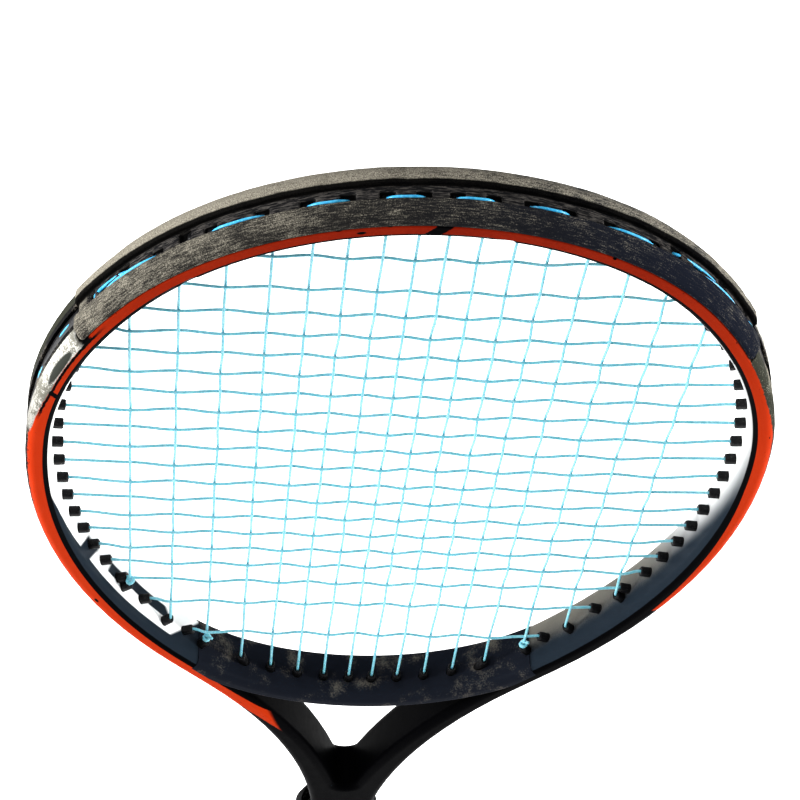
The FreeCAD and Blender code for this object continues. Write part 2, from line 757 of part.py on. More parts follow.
def make_door():
    hinge = hinge_centre()
    far = -DOOR_Y / 2
    plate = Part.makeBox(DOOR_X, hinge.y - far, DOOR_T, V(-DOOR_X / 2, far, DOOR_INSET))
    knuckle = Part.makeCylinder(DOOR_T / 2, DOOR_X, V(-DOOR_X / 2, hinge.y, hinge.z), V(1, 0, 0))
    pin = Part.makeCylinder(HINGE_PIN_R, DOOR_X + 2 * PIN_LENGTH,
                            hinge - V(DOOR_X / 2 + PIN_LENGTH, 0, 0), V(1, 0, 0))
    notch = Part.makeCylinder(NOTCH_R, DOOR_T / 2, V(0, far - DOOR_INSET, DOOR_INSET), V(0, 0, 1))
    return plate.fuse([knuckle, pin]).cut(notch)


def make_grip():
    outer = loft(flared_sections(GRIP_BOTTOM, GRIP_TOP, FIT + GRIP_WALL))
    return outer.cut(loft(flared_sections(GRIP_BOTTOM - OVERCUT / 2, GRIP_TOP + OVERCUT, FIT)))


def ring(inner_grow, wall, bottom, top):
    """An octagonal sleeve round the handle. Grow is its clearance outside the pallets."""
    sizes = []
    for grow in (inner_grow, inner_grow + wall):
        sizes.append((PALLET_X + 2 * grow, PALLET_Y + 2 * grow, PALLET_C + CHAMFER_GROWTH * grow))
    outer = octagon_prism(*sizes[1], bottom, top)
    return outer.cut(octagon_prism(*sizes[0], bottom - OVERCUT, top + OVERCUT))


def make_collar():
    inner = FIT + GRIP_WALL + FIT + TAPE_WALL + COLLAR_CLEARANCE
    sections = []
    for height, wall in COLLAR_WALLS:
        grow = inner + wall
        chamfer = PALLET_C + CHAMFER_GROWTH * grow
        sections.append((PALLET_X + 2 * grow, PALLET_Y + 2 * grow, chamfer, COLLAR_BOTTOM + height))
    pocket = octagon_prism(PALLET_X + 2 * inner, PALLET_Y + 2 * inner, PALLET_C + CHAMFER_GROWTH * inner,
                           COLLAR_BOTTOM - OVERCUT, COLLAR_TOP - COLLAR_LIP)
    tall = 2 * (COLLAR_TOP - COLLAR_BOTTOM)
    mouth = block(2 * COLLAR_MOUTH_X, 2 * COLLAR_MOUTH_Y, tall, V(0, 0, COLLAR_TOP))
    mouth = mouth.makeFillet(EDGE_R, [e for e in mouth.Edges if abs(e.Length - tall) < 1e-6])
    return loft(sections).cut([pocket, mouth])


# ---------- build ----------

save("frame_tube", make_frame())
save("throat_bridge", make_bridge())
save("bumper_guard", make_bumper_guard())
side_strip = make_side_strip()
left_strip = mirrored(side_strip)
save("grommet_strip_right", side_strip)
save("grommet_strip_left", left_strip)
save("grommet_strip_throat", make_throat_strip())
mains = make_mains()
crosses = make_crosses()
save("main_string", mains)
save("cross_string", crosses)
save("string_knots", make_knots(mains + crosses + [side_strip, left_strip]))

pallet_front, pallet_back = make_pallets()
save("pallet_front", pallet_front)
save("pallet_back", pallet_back)
core_width = CORE_X[1] - CORE_X[0] - 2 * FIT
core_middle = (CORE_X[0] + CORE_X[1]) / 2
core_height = HANDLE_TOP + CAVITY_FOOT - STUB_BOTTOM - 2 * OVERCUT
for name, sign in (("foam_core_right", 1), ("foam_core_left", -1)):
    centre = V(sign * core_middle, 0, STUB_BOTTOM + OVERCUT + core_height / 2)
    save(name, block(core_width, 2 * (CORE_HALF_Y - FIT), core_height, centre))
save("balance_weight", octagon_prism(2 * SHAFT_HALF, 2 * HALF_BEAM, STUB_CHAMFER, *WEIGHT_Z))
save("butt_cap", make_butt_cap())
save("butt_cap_door", make_door())
save("butt_cap_staples", staples())
save("base_grip", make_grip())
save("finishing_tape", ring(FIT + GRIP_WALL + FIT, TAPE_WALL, TAPE_BOTTOM, GRIP_TOP))
save("grip_collar", make_collar())
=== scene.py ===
import math

import bpy
import numpy as np
from mathutils import Matrix, Vector, noise


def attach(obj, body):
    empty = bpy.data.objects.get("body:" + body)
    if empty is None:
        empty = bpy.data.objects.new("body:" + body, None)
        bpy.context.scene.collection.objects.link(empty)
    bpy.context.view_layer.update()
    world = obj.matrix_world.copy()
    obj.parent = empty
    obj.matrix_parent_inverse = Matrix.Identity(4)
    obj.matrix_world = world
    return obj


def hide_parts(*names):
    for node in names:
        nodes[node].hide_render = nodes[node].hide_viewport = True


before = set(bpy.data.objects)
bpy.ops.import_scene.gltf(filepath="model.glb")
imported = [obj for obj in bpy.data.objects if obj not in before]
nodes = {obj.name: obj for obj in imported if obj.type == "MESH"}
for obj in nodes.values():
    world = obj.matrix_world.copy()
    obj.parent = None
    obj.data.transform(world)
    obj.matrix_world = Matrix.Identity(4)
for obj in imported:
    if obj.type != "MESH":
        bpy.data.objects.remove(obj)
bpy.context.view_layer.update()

# The looks of a used tennis racket. Shapes are worked out in millimetres in the row frame and turned
# into metres when a mesh is made. The racket stands on its butt, the strings lie in the plane y = 0.

MM = 0.001

# Head outline, as the frame has it
TIP_Z = 674.0
HEAD_RADII = (112.0, 164.0, 250.0)
HEAD_TURNS_DEG = (52.7, 32.6, 41.8)
GUARD_END_DEG = 62.9
ARM_STRAIGHT = 25.0

# Bumper guard, grommet strips and barrels
GUARD_BASE, GUARD_TOP, GUARD_FLOOR = 7.0, 11.0, 9.0
GUARD_HALF, GUARD_SHOULDER, GUARD_LIP = 10.9, 7.0, 2.8
STRIP_BASE = (6.9, 7.9)
BRIDGE_STRIP = (5.6, 6.6)
STRIP_HALF = 3.0
BARREL_HALF = 1.72
BARREL_BORE = 0.95
BARREL_STANDS_IN = 4.0
BARREL_SLANT = 0.3
THROAT_STRIP_START_DEG = 22.4

# Strings
STRING_R = 0.56
MAIN_WEAVE, CROSS_WEAVE = 0.66, 0.54
LANE = 0.9
MAIN_X = (4.8, 15.3, 26.4, 37.7, 50.3, 64.6, 79.4, 95.4)
CROSS_TOP_Z = 646.4
CROSS_GAPS = (18.5, 14.8, 13.1) + (12.68,) * 13 + (14.1, 17.9, 26.7)
LAST_BRIDGE_MAIN = 4
LAST_BRIDGE_SLANT_DEG = 13.4

# Handle
PALLET = (30.5, 26.5, 7.4)
CAP_TOP, CAP_FLARE = 26.0, 8.5
GRIP_BOTTOM, GRIP_TOP = 7.0, 184.0
GRIP_WALL = 1.75
COLLAR_BOTTOM, COLLAR_TOP = 174.0, 192.0
COLLAR_CLEARS_PALLETS = GRIP_WALL + 0.75


# --- camera, floor and light ---

CAMERA_AZIMUTH, CAMERA_ELEVATION, CAMERA_ROLL = -9.1747, 58.3778, 9.4066
CAMERA_DISTANCE = 0.918633
CAMERA_TARGET = Vector((-0.0022222, 0.0, 0.5601414))
CAMERA_LENS, CAMERA_SENSOR = 119.25, 36.0
SKY_STRENGTH, FLOOR_GLOW = 0.42, 0.55
FLOOR_HALF = 4.0
HEAD_CENTRE = (0.0, 0.0, 0.55)
LIGHTS = (  # name, place, size, power
    ("key_light", (-0.9, -0.7, 1.9), 0.5, 8.0),
    ("back_light", (-0.4, 1.2, 1.5), 0.6, 5.0),
    ("side_light_left", (-1.5, -0.1, 0.9), 0.5, 32.0),
    ("side_light_right", (1.5, -0.1, 0.9), 0.5, 32.0),
)


def make_camera():
    azimuth = math.radians(CAMERA_AZIMUTH)
    elevation = math.radians(CAMERA_ELEVATION)
    roll = math.radians(CAMERA_ROLL)
    back = Vector((math.sin(azimuth) * math.cos(elevation),
                   -math.cos(azimuth) * math.cos(elevation), math.sin(elevation)))
    right = (-back).cross(Vector((0, 0, 1))).normalized()
    up = right.cross(-back)
    rolled_right = right * math.cos(roll) + up * math.sin(roll)
    rolled_up = up * math.cos(roll) - right * math.sin(roll)
    data = bpy.data.cameras.new("camera")
    data.lens = CAMERA_LENS
    data.sensor_width = CAMERA_SENSOR
    data.clip_end = 50.0
    camera = bpy.data.objects.new("camera", data)
    bpy.context.scene.collection.objects.link(camera)
    turn = Matrix((rolled_right, rolled_up, back)).transposed()
    camera.matrix_world = Matrix.Translation(CAMERA_TARGET + back * CAMERA_DISTANCE) @ turn.to_4x4()
    bpy.context.scene.camera = camera


def make_light(name, place, size, power):
    data = bpy.data.lights.new(name, "AREA")
    data.shape = "DISK"
    data.size = size
    data.energy = power
    light = bpy.data.objects.new(name, data)
    bpy.context.scene.collection.objects.link(light)
    light.location = place
    light.rotation_euler = (Vector(HEAD_CENTRE) - Vector(place)).to_track_quat("-Z", "Y").to_euler()


def make_studio():
    world = bpy.data.worlds.new("studio")
    bpy.context.scene.world = world
    world.use_nodes = True
    background = world.node_tree.nodes["Background"]
    background.inputs["Color"].default_value = (1.0, 1.0, 1.0, 1.0)
    background.inputs["Strength"].default_value = SKY_STRENGTH
    for light in LIGHTS:
        make_light(*light)
    bpy.context.scene.view_settings.view_transform = "Standard"
    bpy.context.scene.view_settings.look = "Medium High Contrast"


# --- outline of the head ---

def normal(heading):
    """Outward normal of the right-hand outline. The heading is 0 at the tip and grows clockwise."""
    return np.array([math.sin(heading), 0.0, math.cos(heading)])


def tangent(heading):
    return np.array([math.cos(heading), 0.0, -math.sin(heading)])


def head_arcs():
    """(centre, radius, first heading, last heading) for each arc of the right half, tip to bridge."""
    arcs = []
    point = np.array([0.0, 0.0, TIP_Z])
    heading = 0.0
    for radius, turn in zip(HEAD_RADII, HEAD_TURNS_DEG):
        centre = point - normal(heading) * radius
        last = heading + math.radians(turn)
        arcs.append((centre, radius, heading, last))
        heading = last
        point = centre + normal(heading) * radius
    radius = point[0] / math.sin(heading)
    arcs.append((point - normal(heading) * radius, radius, heading, math.pi))
    return arcs


ARCS = head_arcs()
ARM_HEADING = ARCS[2][3]
ARM_START = ARCS[2][0] + normal(ARM_HEADING) * ARCS[2][1]
ARM_OUT = normal(ARM_HEADING)
ARM_DOWN = tangent(ARM_HEADING)
GUARD_END = math.radians(GUARD_END_DEG)


def outside_offset(point):
    """How far a point on the right lies outside the line of the hoop, and the way out."""
    from_arm = point - ARM_START
    if from_arm @ ARM_DOWN > 0:
        return from_arm @ ARM_OUT, ARM_OUT
    for centre, radius, _, last in ARCS[:3]:
        spoke = (point - centre) * (1, 0, 1)
        if math.atan2(spoke[0], spoke[2]) <= last:
            return np.linalg.norm(spoke) - radius, spoke / np.linalg.norm(spoke)
    return from_arm @ ARM_OUT, ARM_OUT


def bridge_offset(point):
    centre, radius = ARCS[3][:2]
    spoke = (point - centre) * (1, 0, 1)
    return np.linalg.norm(spoke) - radius, spoke / np.linalg.norm(spoke)


def reach(start, direction, offset, measure):
    """Distance from start along direction to the given offset."""
    low, high = 0.0, 40.0
    for _ in range(30):
        middle = (low + high) / 2
        if measure(start + direction * middle)[0] < offset:
            low = middle
        else:
            high = middle
    return low


def outline_heading(offset, x=None, z=None, lower=False):
    """The arc and heading where the offset outline crosses a given x or z on the right."""
    for index, (centre, radius, first, last) in enumerate(ARCS):
        span = radius + offset
        ratio = (z - centre[2]) / span if x is None else (x - centre[0]) / span
        if abs(ratio) > 1:
            continue
        heading = math.acos(ratio) if x is None else math.asin(ratio)
        if x is not None and lower:
            heading = math.pi - heading
        if first - 1e-9 <= heading <= last + 1e-9:
            return index, heading, centre + normal(heading) * span
    raise ValueError("no such point on the outline")


def rim_point(heading, offset, y=0.0):
    """A point off the outline at a heading that is negative on the left."""
    turn = abs(heading)
    centre, radius = next((c, r) for c, r, _, last in ARCS if turn <= last + 1e-9)
    point = centre + normal(turn) * (radius + offset)
    return np.array([math.copysign(1.0, heading) * point[0], y, point[2]])


def flipped(vector):
    return vector * (-1, 1, 1)


# --- where each string passes the rim ---

def barrel_line(x=None, z=None, lower=False):
    """Mouth and direction of the barrel that takes a string end on the right side of the head."""
    index, heading, mouth = outline_heading(-BARREL_STANDS_IN, x, z, lower)
    if index == 3 and x <= MAIN_X[LAST_BRIDGE_MAIN]:
        slant = math.radians(LAST_BRIDGE_SLANT_DEG) if x == MAIN_X[LAST_BRIDGE_MAIN] else 0.0
        return mouth, np.array([-math.sin(slant), 0.0, -math.cos(slant)]), "bridge"
    along = np.array([1.0, 0, 0]) if x is None else np.array([0, 0, -1.0 if lower else 1.0])
    direction = normal(heading) * (1 - BARREL_SLANT) + along * BARREL_SLANT
    holder = "guard" if heading < GUARD_END else "side"
    return mouth, direction / np.linalg.norm(direction), holder


HOLDERS = {
    "guard": (GUARD_BASE + 0.6, GUARD_FLOOR + 0.7, outside_offset),
    "side": (STRIP_BASE[0] + 0.4, STRIP_BASE[1] + 0.7, outside_offset),
    "bridge": (BRIDGE_STRIP[0] + 0.4, BRIDGE_STRIP[1] + 0.7, bridge_offset),
}


def string_end(lane, x=None, z=None, lower=False):
    """One string end on the right: mouth, direction, holder, barrel length and where its loop starts."""
    mouth, direction, holder = barrel_line(x, z, lower)
    mouth = mouth + np.array([0, lane, 0])
    root, loop, measure = HOLDERS[holder]
    length = reach(mouth, direction, root, measure)
    exit_point = mouth + direction * reach(mouth, direction, loop, measure)
    return {"mouth": mouth, "dir": direction, "holder": holder, "length": length, "exit": exit_point}


def on_left(end):
    other = dict(end)
    for key in ("mouth", "dir", "exit"):
        other[key] = flipped(end[key])
    return other


CROSS_Z = [CROSS_TOP_Z]
for gap in CROSS_GAPS:
    CROSS_Z.append(CROSS_Z[-1] - gap)

TOP_ENDS = [string_end(-LANE, x=x) for x in MAIN_X]
LOW_ENDS = [string_end(-LANE, x=x, lower=True) for x in MAIN_X]
SIDE_ENDS = [string_end(LANE, z=z) for z in CROSS_Z]
ALL_ENDS = TOP_ENDS + LOW_ENDS + SIDE_ENDS


# --- meshes ---

def new_piece(name, shape, material):
    """A smooth mesh from a shape in millimetres."""
    mesh = bpy.data.meshes.new(name)
    points = np.asarray(shape.points, float) * MM
    mesh.from_pydata([tuple(p) for p in points], [], shape.faces)
    mesh.polygons.foreach_set("use_smooth", [True] * len(mesh.polygons))
    mesh.update()
    piece = bpy.data.objects.new(name, mesh)
    bpy.context.scene.collection.objects.link(piece)
    mesh.materials.append(material)
    return piece


def loft_faces(rings, size, first=0, closed_loop=False):
    """Quads between rings of the same size, with both ends capped unless the loft closes on itself."""
    faces = []
    last = rings if closed_loop else rings - 1
    for i in range(last):
        here = first + i * size
        there = first + ((i + 1) % rings) * size
        for k in range(size):
            n = (k + 1) % size
            faces.append((here + k, here + n, there + n, there + k))
    if not closed_loop:
        faces.append(tuple(first + k for k in reversed(range(size))))
        faces.append(tuple(first + (rings - 1) * size + k for k in range(size)))
    return faces


class Shape:
    """Points and faces of one piece."""

    def __init__(self, rings=(), closed_loop=False):
        self.points = []
        self.faces = []
        if len(rings):
            self.loft(rings, closed_loop)

    def loft(self, rings, closed_loop=False):
        size = len(rings[0])
        self.faces += loft_faces(len(rings), size, len(self.points), closed_loop)
        for ring in rings:
            self.points.extend(ring)


def tube_rings(path, radius, sides):
    """Round rings along a path, with frames carried along so that they never twist."""
    path = np.asarray(path, float)
    ways = np.gradient(path, axis=0)
    ways /= np.linalg.norm(ways, axis=1)[:, None]
    side = np.cross(ways[0], [0.0, 1.0, 0.0])
    if np.linalg.norm(side) < 0.1:
        side = np.cross(ways[0], [1.0, 0.0, 0.0])
    angles = np.arange(sides) * 2 * math.pi / sides
    rings = []
    for point, way in zip(path, ways):
        side = side - way * (side @ way)
        side /= np.linalg.norm(side)
        other = np.cross(way, side)
        rings.append(point + radius * (np.outer(np.cos(angles), side) + np.outer(np.sin(angles), other)))
    return rings


def rounded_profile(points, radii, step):
    """A closed outline with rounded corners, as points about a step apart."""
    points = np.asarray(points, float)
    count = len(points)
    outline = []
    for i in range(count):
        before, here, after = points[i - 1], points[i], points[(i + 1) % count]
        back = (before - here) / np.linalg.norm(before - here)
        ahead = (after - here) / np.linalg.norm(after - here)
        half = math.acos(np.clip(back @ ahead, -1, 1)) / 2
        if radii[i] == 0:
            outline.append(here)
            continue
        along = radii[i] / math.tan(half)
        bisector = (back + ahead) / np.linalg.norm(back + ahead)
        middle = here + bisector * radii[i] / math.sin(half)
        first, last = here + back * along - middle, here + ahead * along - middle
        turn = math.pi - 2 * half
        steps = max(2, round(radii[i] * turn / step))
        for k in range(steps + 1):
            part = k / steps
            weight = np.array([math.sin((1 - part) * turn), math.sin(part * turn)]) / math.sin(turn)
            outline.append(middle + weight[0] * first + weight[1] * last)
    dense = []
    for i, here in enumerate(outline):
        after = outline[(i + 1) % len(outline)]
        pieces = max(1, round(np.linalg.norm(after - here) / step))
        dense += [here + (after - here) * k / pieces for k in range(pieces)]
    return np.array(dense)


def rough(point, scale, seed):
    """Smooth noise from -1 to 1 at a point in millimetres."""
    return noise.noise(Vector(point) * scale + Vector((seed, seed * 1.7, -seed)))


# --- shader sums ---

PAINT_SPECULAR, NYLON_SPECULAR, STRING_SPECULAR = 0.005, 0.12, 0.25

class Sums:
    """Short forms for the nodes of one material."""

    def __init__(self, material):
        self.tree = material.node_tree
        self.shader = self.tree.nodes["Principled BSDF"]
        place = self.tree.nodes.new("ShaderNodeTexCoord").outputs["Object"]
        self.place = self.vector_times(place, 1 / MM)
        split = self.tree.nodes.new("ShaderNodeSeparateXYZ")
        self.tree.links.new(self.place, split.inputs[0])
        self.x, self.y, self.z = (Term(self, split.outputs[i]) for i in range(3))

    def vector_times(self, vector, factor):
        node = self.tree.nodes.new("ShaderNodeVectorMath")
        node.operation = "SCALE"
        self.tree.links.new(vector, node.inputs[0])
        node.inputs["Scale"].default_value = factor
        return node.outputs[0]

    def vector(self, x, y, z):
        node = self.tree.nodes.new("ShaderNodeCombineXYZ")
        for socket, value in zip(node.inputs, (x, y, z)):
            self.feed(socket, value)
        return node.outputs[0]

    def feed(self, socket, value):
        if isinstance(value, Term):
            self.tree.links.new(value.socket, socket)
        elif isinstance(value, bpy.types.NodeSocket):
            self.tree.links.new(value, socket)
        else:
            socket.default_value = value

    def math(self, operation, *values):
        node = self.tree.nodes.new("ShaderNodeMath")
        node.operation = operation
        for socket, value in zip(node.inputs, values):
            self.feed(socket, value)
        return Term(self, node.outputs[0])

    def step(self, low, high, value):
        """0 below low, 1 above high and a smooth rise between them."""
        node = self.tree.nodes.new("ShaderNodeMapRange")
        node.interpolation_type = "SMOOTHSTEP"
        self.feed(node.inputs["Value"], value)
        self.feed(node.inputs["From Min"], low)
        self.feed(node.inputs["From Max"], high)
        return Term(self, node.outputs["Result"])

    def most(self, first, *others):
        for other in others:
            first = self.math("MAXIMUM", first, other)
        return first

    def least(self, one, two):
        return self.math("MINIMUM", one, two)

    def length(self, across, up):
        return self.math("SQRT", across * across + up * up)

    def between(self, low, high, value, soft):
        return self.step(low - soft, low + soft, value) * (1 - self.step(high - soft, high + soft, value))

    def noise(self, scale, detail=3.0, roughness=0.55, vector=None):
        """Noise of about 0.5 whose lumps are 1 / scale millimetres across."""
        node = self.tree.nodes.new("ShaderNodeTexNoise")
        self.feed(node.inputs["Vector"], self.place if vector is None else vector)
        node.inputs["Scale"].default_value = scale
        node.inputs["Detail"].default_value = detail
        node.inputs["Roughness"].default_value = roughness
        return Term(self, node.outputs[0])

    def cells(self, scale, vector=None):
        node = self.tree.nodes.new("ShaderNodeTexVoronoi")
        self.feed(node.inputs["Vector"], self.place if vector is None else vector)
        node.inputs["Scale"].default_value = scale
        return Term(self, node.outputs["Distance"])

    def choose(self, factor, low, high):
        """The low number where the factor is 0 and the high one where it is 1."""
        return low + (high - low) * factor

    def mix(self, factor, below, above):
        """One colour over another."""
        node = self.tree.nodes.new("ShaderNodeMix")
        node.data_type = "RGBA"
        colours = [s for s in node.inputs if s.type == "RGBA"]
        self.feed(node.inputs[0], factor)
        self.feed(colours[0], below)
        self.feed(colours[1], above)
        return next(s for s in node.outputs if s.type == "RGBA")

    def constant(self, socket, value):
        self.shader.inputs[socket].default_value = value

    def finish(self, colour, roughness, height=None, depth=0.1, metallic=None):
        """Feeds the shader. The height is in millimetres once it is multiplied by the depth."""
        self.feed(self.shader.inputs["Base Color"], colour)
        self.feed(self.shader.inputs["Roughness"], roughness)
        self.constant("Specular IOR Level", PAINT_SPECULAR)
        if metallic is not None:
            self.feed(self.shader.inputs["Metallic"], metallic)
        if height is not None:
            bump = self.tree.nodes.new("ShaderNodeBump")
            bump.inputs["Distance"].default_value = depth * MM
            self.feed(bump.inputs["Height"], height)
            self.feed(self.shader.inputs["Normal"], bump.outputs[0])


def sum_of(operation, backwards=False):
    def apply(self, other):
        return self.sums.math(operation, *((other, self) if backwards else (self, other)))
    return apply


class Term:
    """A number in a material, which takes part in sums."""

    def __init__(self, sums, socket):
        self.sums = sums
        self.socket = socket

    __add__, __radd__ = sum_of("ADD"), sum_of("ADD", True)
    __sub__, __rsub__ = sum_of("SUBTRACT"), sum_of("SUBTRACT", True)
    __mul__, __rmul__ = sum_of("MULTIPLY"), sum_of("MULTIPLY", True)

    def __neg__(self):
        return self * -1.0

    def __abs__(self):
        return self.sums.math("ABSOLUTE", self)


def new_material(name):
    material = bpy.data.materials.new(name)
    material.use_nodes = True
    return material, Sums(material)


def rgb(red, green, blue):
    return (red, green, blue, 1.0)


def degrees_round(s, x, centre_z):
    """Angle about a point on the racket's axis, 0 towards the tip and positive on the right."""
    return s.math("DEGREES", s.math("ARCTAN2", x, s.z - centre_z))


# --- frame paint ---

def rim_offset(s):
    """Distance outside the line of the hoop and the arms, in the material."""
    side = abs(s.x)
    offsets, headings = [], []
    for centre, radius, _, _ in ARCS[:3]:
        across = side - float(centre[0])
        up = s.z - float(centre[2])
        offsets.append(s.length(across, up) - radius)
        headings.append(s.math("ARCTAN2", across, up))
    across = side - float(ARM_START[0])
    up = s.z - float(ARM_START[2])
    along = across * float(ARM_DOWN[0]) + up * float(ARM_DOWN[2])
    beside = across * float(ARM_OUT[0]) + up * float(ARM_OUT[2])
    on_shoulder = s.math("GREATER_THAN", headings[0], ARCS[0][3])
    on_side = s.math("GREATER_THAN", headings[1], ARCS[1][3])
    on_arm = s.math("GREATER_THAN", along, 0.0)
    offset = offsets[0] + (offsets[1] - offsets[0]) * on_shoulder
    offset = offset + (offsets[2] - offset) * on_side
    return offset + (beside - offset) * on_arm


HEAD_MIDDLE_Z = 525.0
BLACK_EDGE = 2.7
BLACK = rgb(0.0015, 0.0015, 0.002)
SLATE = rgb(0.018, 0.025, 0.034)
WHITE = rgb(0.93, 0.93, 0.92)
DUST = rgb(0.3, 0.27, 0.22)


def frame_paint():
    material, s = new_material("frame_paint")
    ragged = s.noise(0.45, 4.0, 0.65) - 0.5
    fine = s.noise(1.6, 3.0, 0.6) - 0.5
    broad = s.noise(0.05, 3.0) - 0.5
    depth = rim_offset(s)
    front = s.math("LESS_THAN", s.y, 0.0) * 2.0 - 1.0
    face_x = s.x * front
    face_turn = degrees_round(s, face_x, HEAD_MIDDLE_Z)
    turn = degrees_round(s, s.x, HEAD_MIDDLE_Z)
    right = s.math("GREATER_THAN", face_x, 0.0)
    beside = abs(s.y)

    # The inner surface: white print with dark bars on the upper left, a painted white sheen over dusty slate
    # on the upper right that gives way to slate towards the front and further down, black at the throat
    inner = 1 - s.step(0.9, 1.2, depth)
    left_turn = -turn
    slope = s.y * 0.8
    white_left = s.step(60.0, 64.0, left_turn) * (1 - s.step(-0.35, 0.35, left_turn - 153.0 - s.y * 0.45))
    wedge = s.step(-0.3, 0.3, s.least((left_turn - 96.0) * 0.24, 6.2) - 11.0 - s.y)
    bar_one = s.between(123.0, 127.6, left_turn - slope * 0.5, 0.35) * (1 - s.step(3.0, 5.5, s.y))
    bar_two = s.between(133.0, 139.5, left_turn - slope * 0.3, 0.4) * s.between(-0.6, 5.0, s.y, 0.5)
    stripes = s.between(1.5, 6.5, s.y + (left_turn - 146.0) * 0.1, 0.3)
    patches = stripes * s.between(141.0, 151.5, left_turn + s.y * 0.3, 0.5)
    left_dark = s.most(wedge, bar_one, bar_two, patches)
    left_white = white_left * (1 - left_dark)
    # Painted reflection: a white sheen on the upper right inner surface that gives way to the slate paint
    # towards the front edge and further down
    sheen_loss_by_turn = s.least(s.most((turn - 78.0) * 0.022, 0.0), 1.0)
    sheen_loss_right = s.step(-0.2, 1.0, (-s.y + 6.0) * 0.075 + sheen_loss_by_turn * 1.15 - 0.75)
    painted_sheen_right = s.step(40.0, 46.0, turn) * (1 - s.step(118.0, 140.0, turn))
    right_side = s.math("GREATER_THAN", s.x, 0.0)
    inner_left = s.mix(left_white, SLATE, WHITE)
    dusty_right = s.mix(s.step(-0.25, 0.35, broad + s.y * 0.03 + fine * 0.5), SLATE, DUST)
    dust_and_sheen_right = s.mix(painted_sheen_right, dusty_right, WHITE)
    inner_right = s.mix(sheen_loss_right, dust_and_sheen_right, SLATE)
    beige = s.step(112.0, 132.0, turn) * s.step(-3.5, 6.0, s.y + broad * 6.0 + fine * 3.0)
    inner_right = s.mix(beige * 0.8, inner_right, rgb(0.17, 0.16, 0.14))
    inside = s.mix(right_side, inner_left, inner_right)
    throat_side = s.step(156.0, 158.0, abs(turn))
    inside = s.mix(throat_side, inside, BLACK)

    # The orange band on both faces, with its ragged outer edge and its chips
    chipped = s.step(0.16, 0.2, ragged + fine * 0.5) * s.step(4.6, 6.4, depth)
    outer_limit = 8.1 + broad * 0.8
    narrowing = s.least(s.most((face_turn - 92.0) * 0.055, 0.0), 2.2)
    past_black = s.step(BLACK_EDGE, BLACK_EDGE + 0.25, depth - narrowing + fine * 0.12)
    band = past_black * (1 - s.step(-0.25, 0.25, depth + ragged * 1.2 - outer_limit))
    band = band * s.step(5.2, 5.6, beside)
    tapered = 132.5 - (depth - 6.0) * 0.35
    right_end = 1 - s.step(-0.25, 0.25, face_turn - tapered + ragged * 0.5)
    left_end = s.step(-2.0, 2.0, s.z - 318.0 + (depth - 4.0) * 3.0)
    band = band * s.choose(right, left_end, right_end)
    slanted = face_x - (depth - 2.0) * 0.9 + ragged * 1.6
    tip_gap = s.between(-5.6, -0.2, slanted, 0.25) * s.step(600.0, 601.0, s.z)
    chip_turns = ((-9.1, 4.6, 1.5, 0.7), (-11.7, 6.9, 1.4, 0.5), (-5.8, 6.9, 1.1, 0.4),
                  (21.5, 6.4, 0.7, 0.5), (-133.2, 5.4, 1.6, 0.6))
    chips = s.most(tip_gap, chipped)
    for middle, level, long, wide in chip_turns:
        across = (face_turn - middle) * (2.6 / long)
        up = (depth - level) * (1 / wide)
        spot = 1 - s.step(0.8, 1.15, s.length(across, up) + ragged * 0.5)
        chips = s.most(chips, spot)
    left_break = s.between(66.0, 67.2, -face_turn - (6.4 - depth) * 0.3 + ragged * 0.8, 0.12)
    chips = s.most(chips, left_break)
    orange = s.mix(s.step(0.0, 1.0, (s.z - 540.0) * 0.006), rgb(0.42, 0.034, 0.005), rgb(0.17, 0.012, 0.004))
    orange = s.mix(s.step(-0.3, 0.6, fine + broad) * 0.2, orange, rgb(0.5, 0.06, 0.016))
    worn_orange = band * (1 - chips)
    dusty = s.step(0.02, 0.3, broad + fine * 0.7 + (depth - 8.0) * 0.06) * s.step(7.2, 8.4, depth) * 0.75
    dusty = dusty * s.step(330.0, 420.0, s.z)
    outside = s.mix(dusty, BLACK, DUST)
    outside = s.mix(worn_orange, outside, orange)

    # Paint worn to the bright undercoat on the left and to a dull olive on the right
    patch_level = depth + ragged * 1.1
    bright_turn = -face_turn + fine * 2.0
    on_face = s.step(5.0, 5.4, beside)
    past_orange = patch_level - 5.6 - s.most((bright_turn - 66.0) * 0.16, 0.0)
    bright = s.between(53.6, 79.0, bright_turn, 0.8) * s.step(-0.2, 0.2, past_orange) * on_face
    oval_across = (-face_turn - 60.5) * 0.19
    oval_up = (depth - 7.1) * 0.72
    oval = 1 - s.step(0.75, 1.05, s.length(oval_across, oval_up) + ragged * 0.4)
    torn_edge_and_tongue_shadow = s.between(-1.1, -0.1, past_orange, 0.15) * s.between(49.0, 74.0, bright_turn, 2.0)
    worn = s.step(-0.12, 0.16, fine + ragged * 0.8 + broad)
    undercoat = s.mix(worn, rgb(0.62, 0.61, 0.57), rgb(0.17, 0.165, 0.14))
    undercoat = s.mix(s.step(66.0, 76.0, bright_turn) * 0.6, undercoat, rgb(0.1, 0.095, 0.08))
    undercoat = s.mix(oval, undercoat, rgb(0.045, 0.048, 0.042))
    olive_turn = face_turn + fine * 2.0
    past_orange = patch_level - 6.6 - s.most((olive_turn - 64.0) * 0.14, 0.0)
    olive = s.between(48.0, 78.0, olive_turn, 3.0) * s.step(-0.2, 0.2, past_orange) * on_face
    olive_paint = s.mix(s.step(0.1, 0.32, fine + broad), rgb(0.035, 0.036, 0.028), rgb(0.26, 0.25, 0.2))
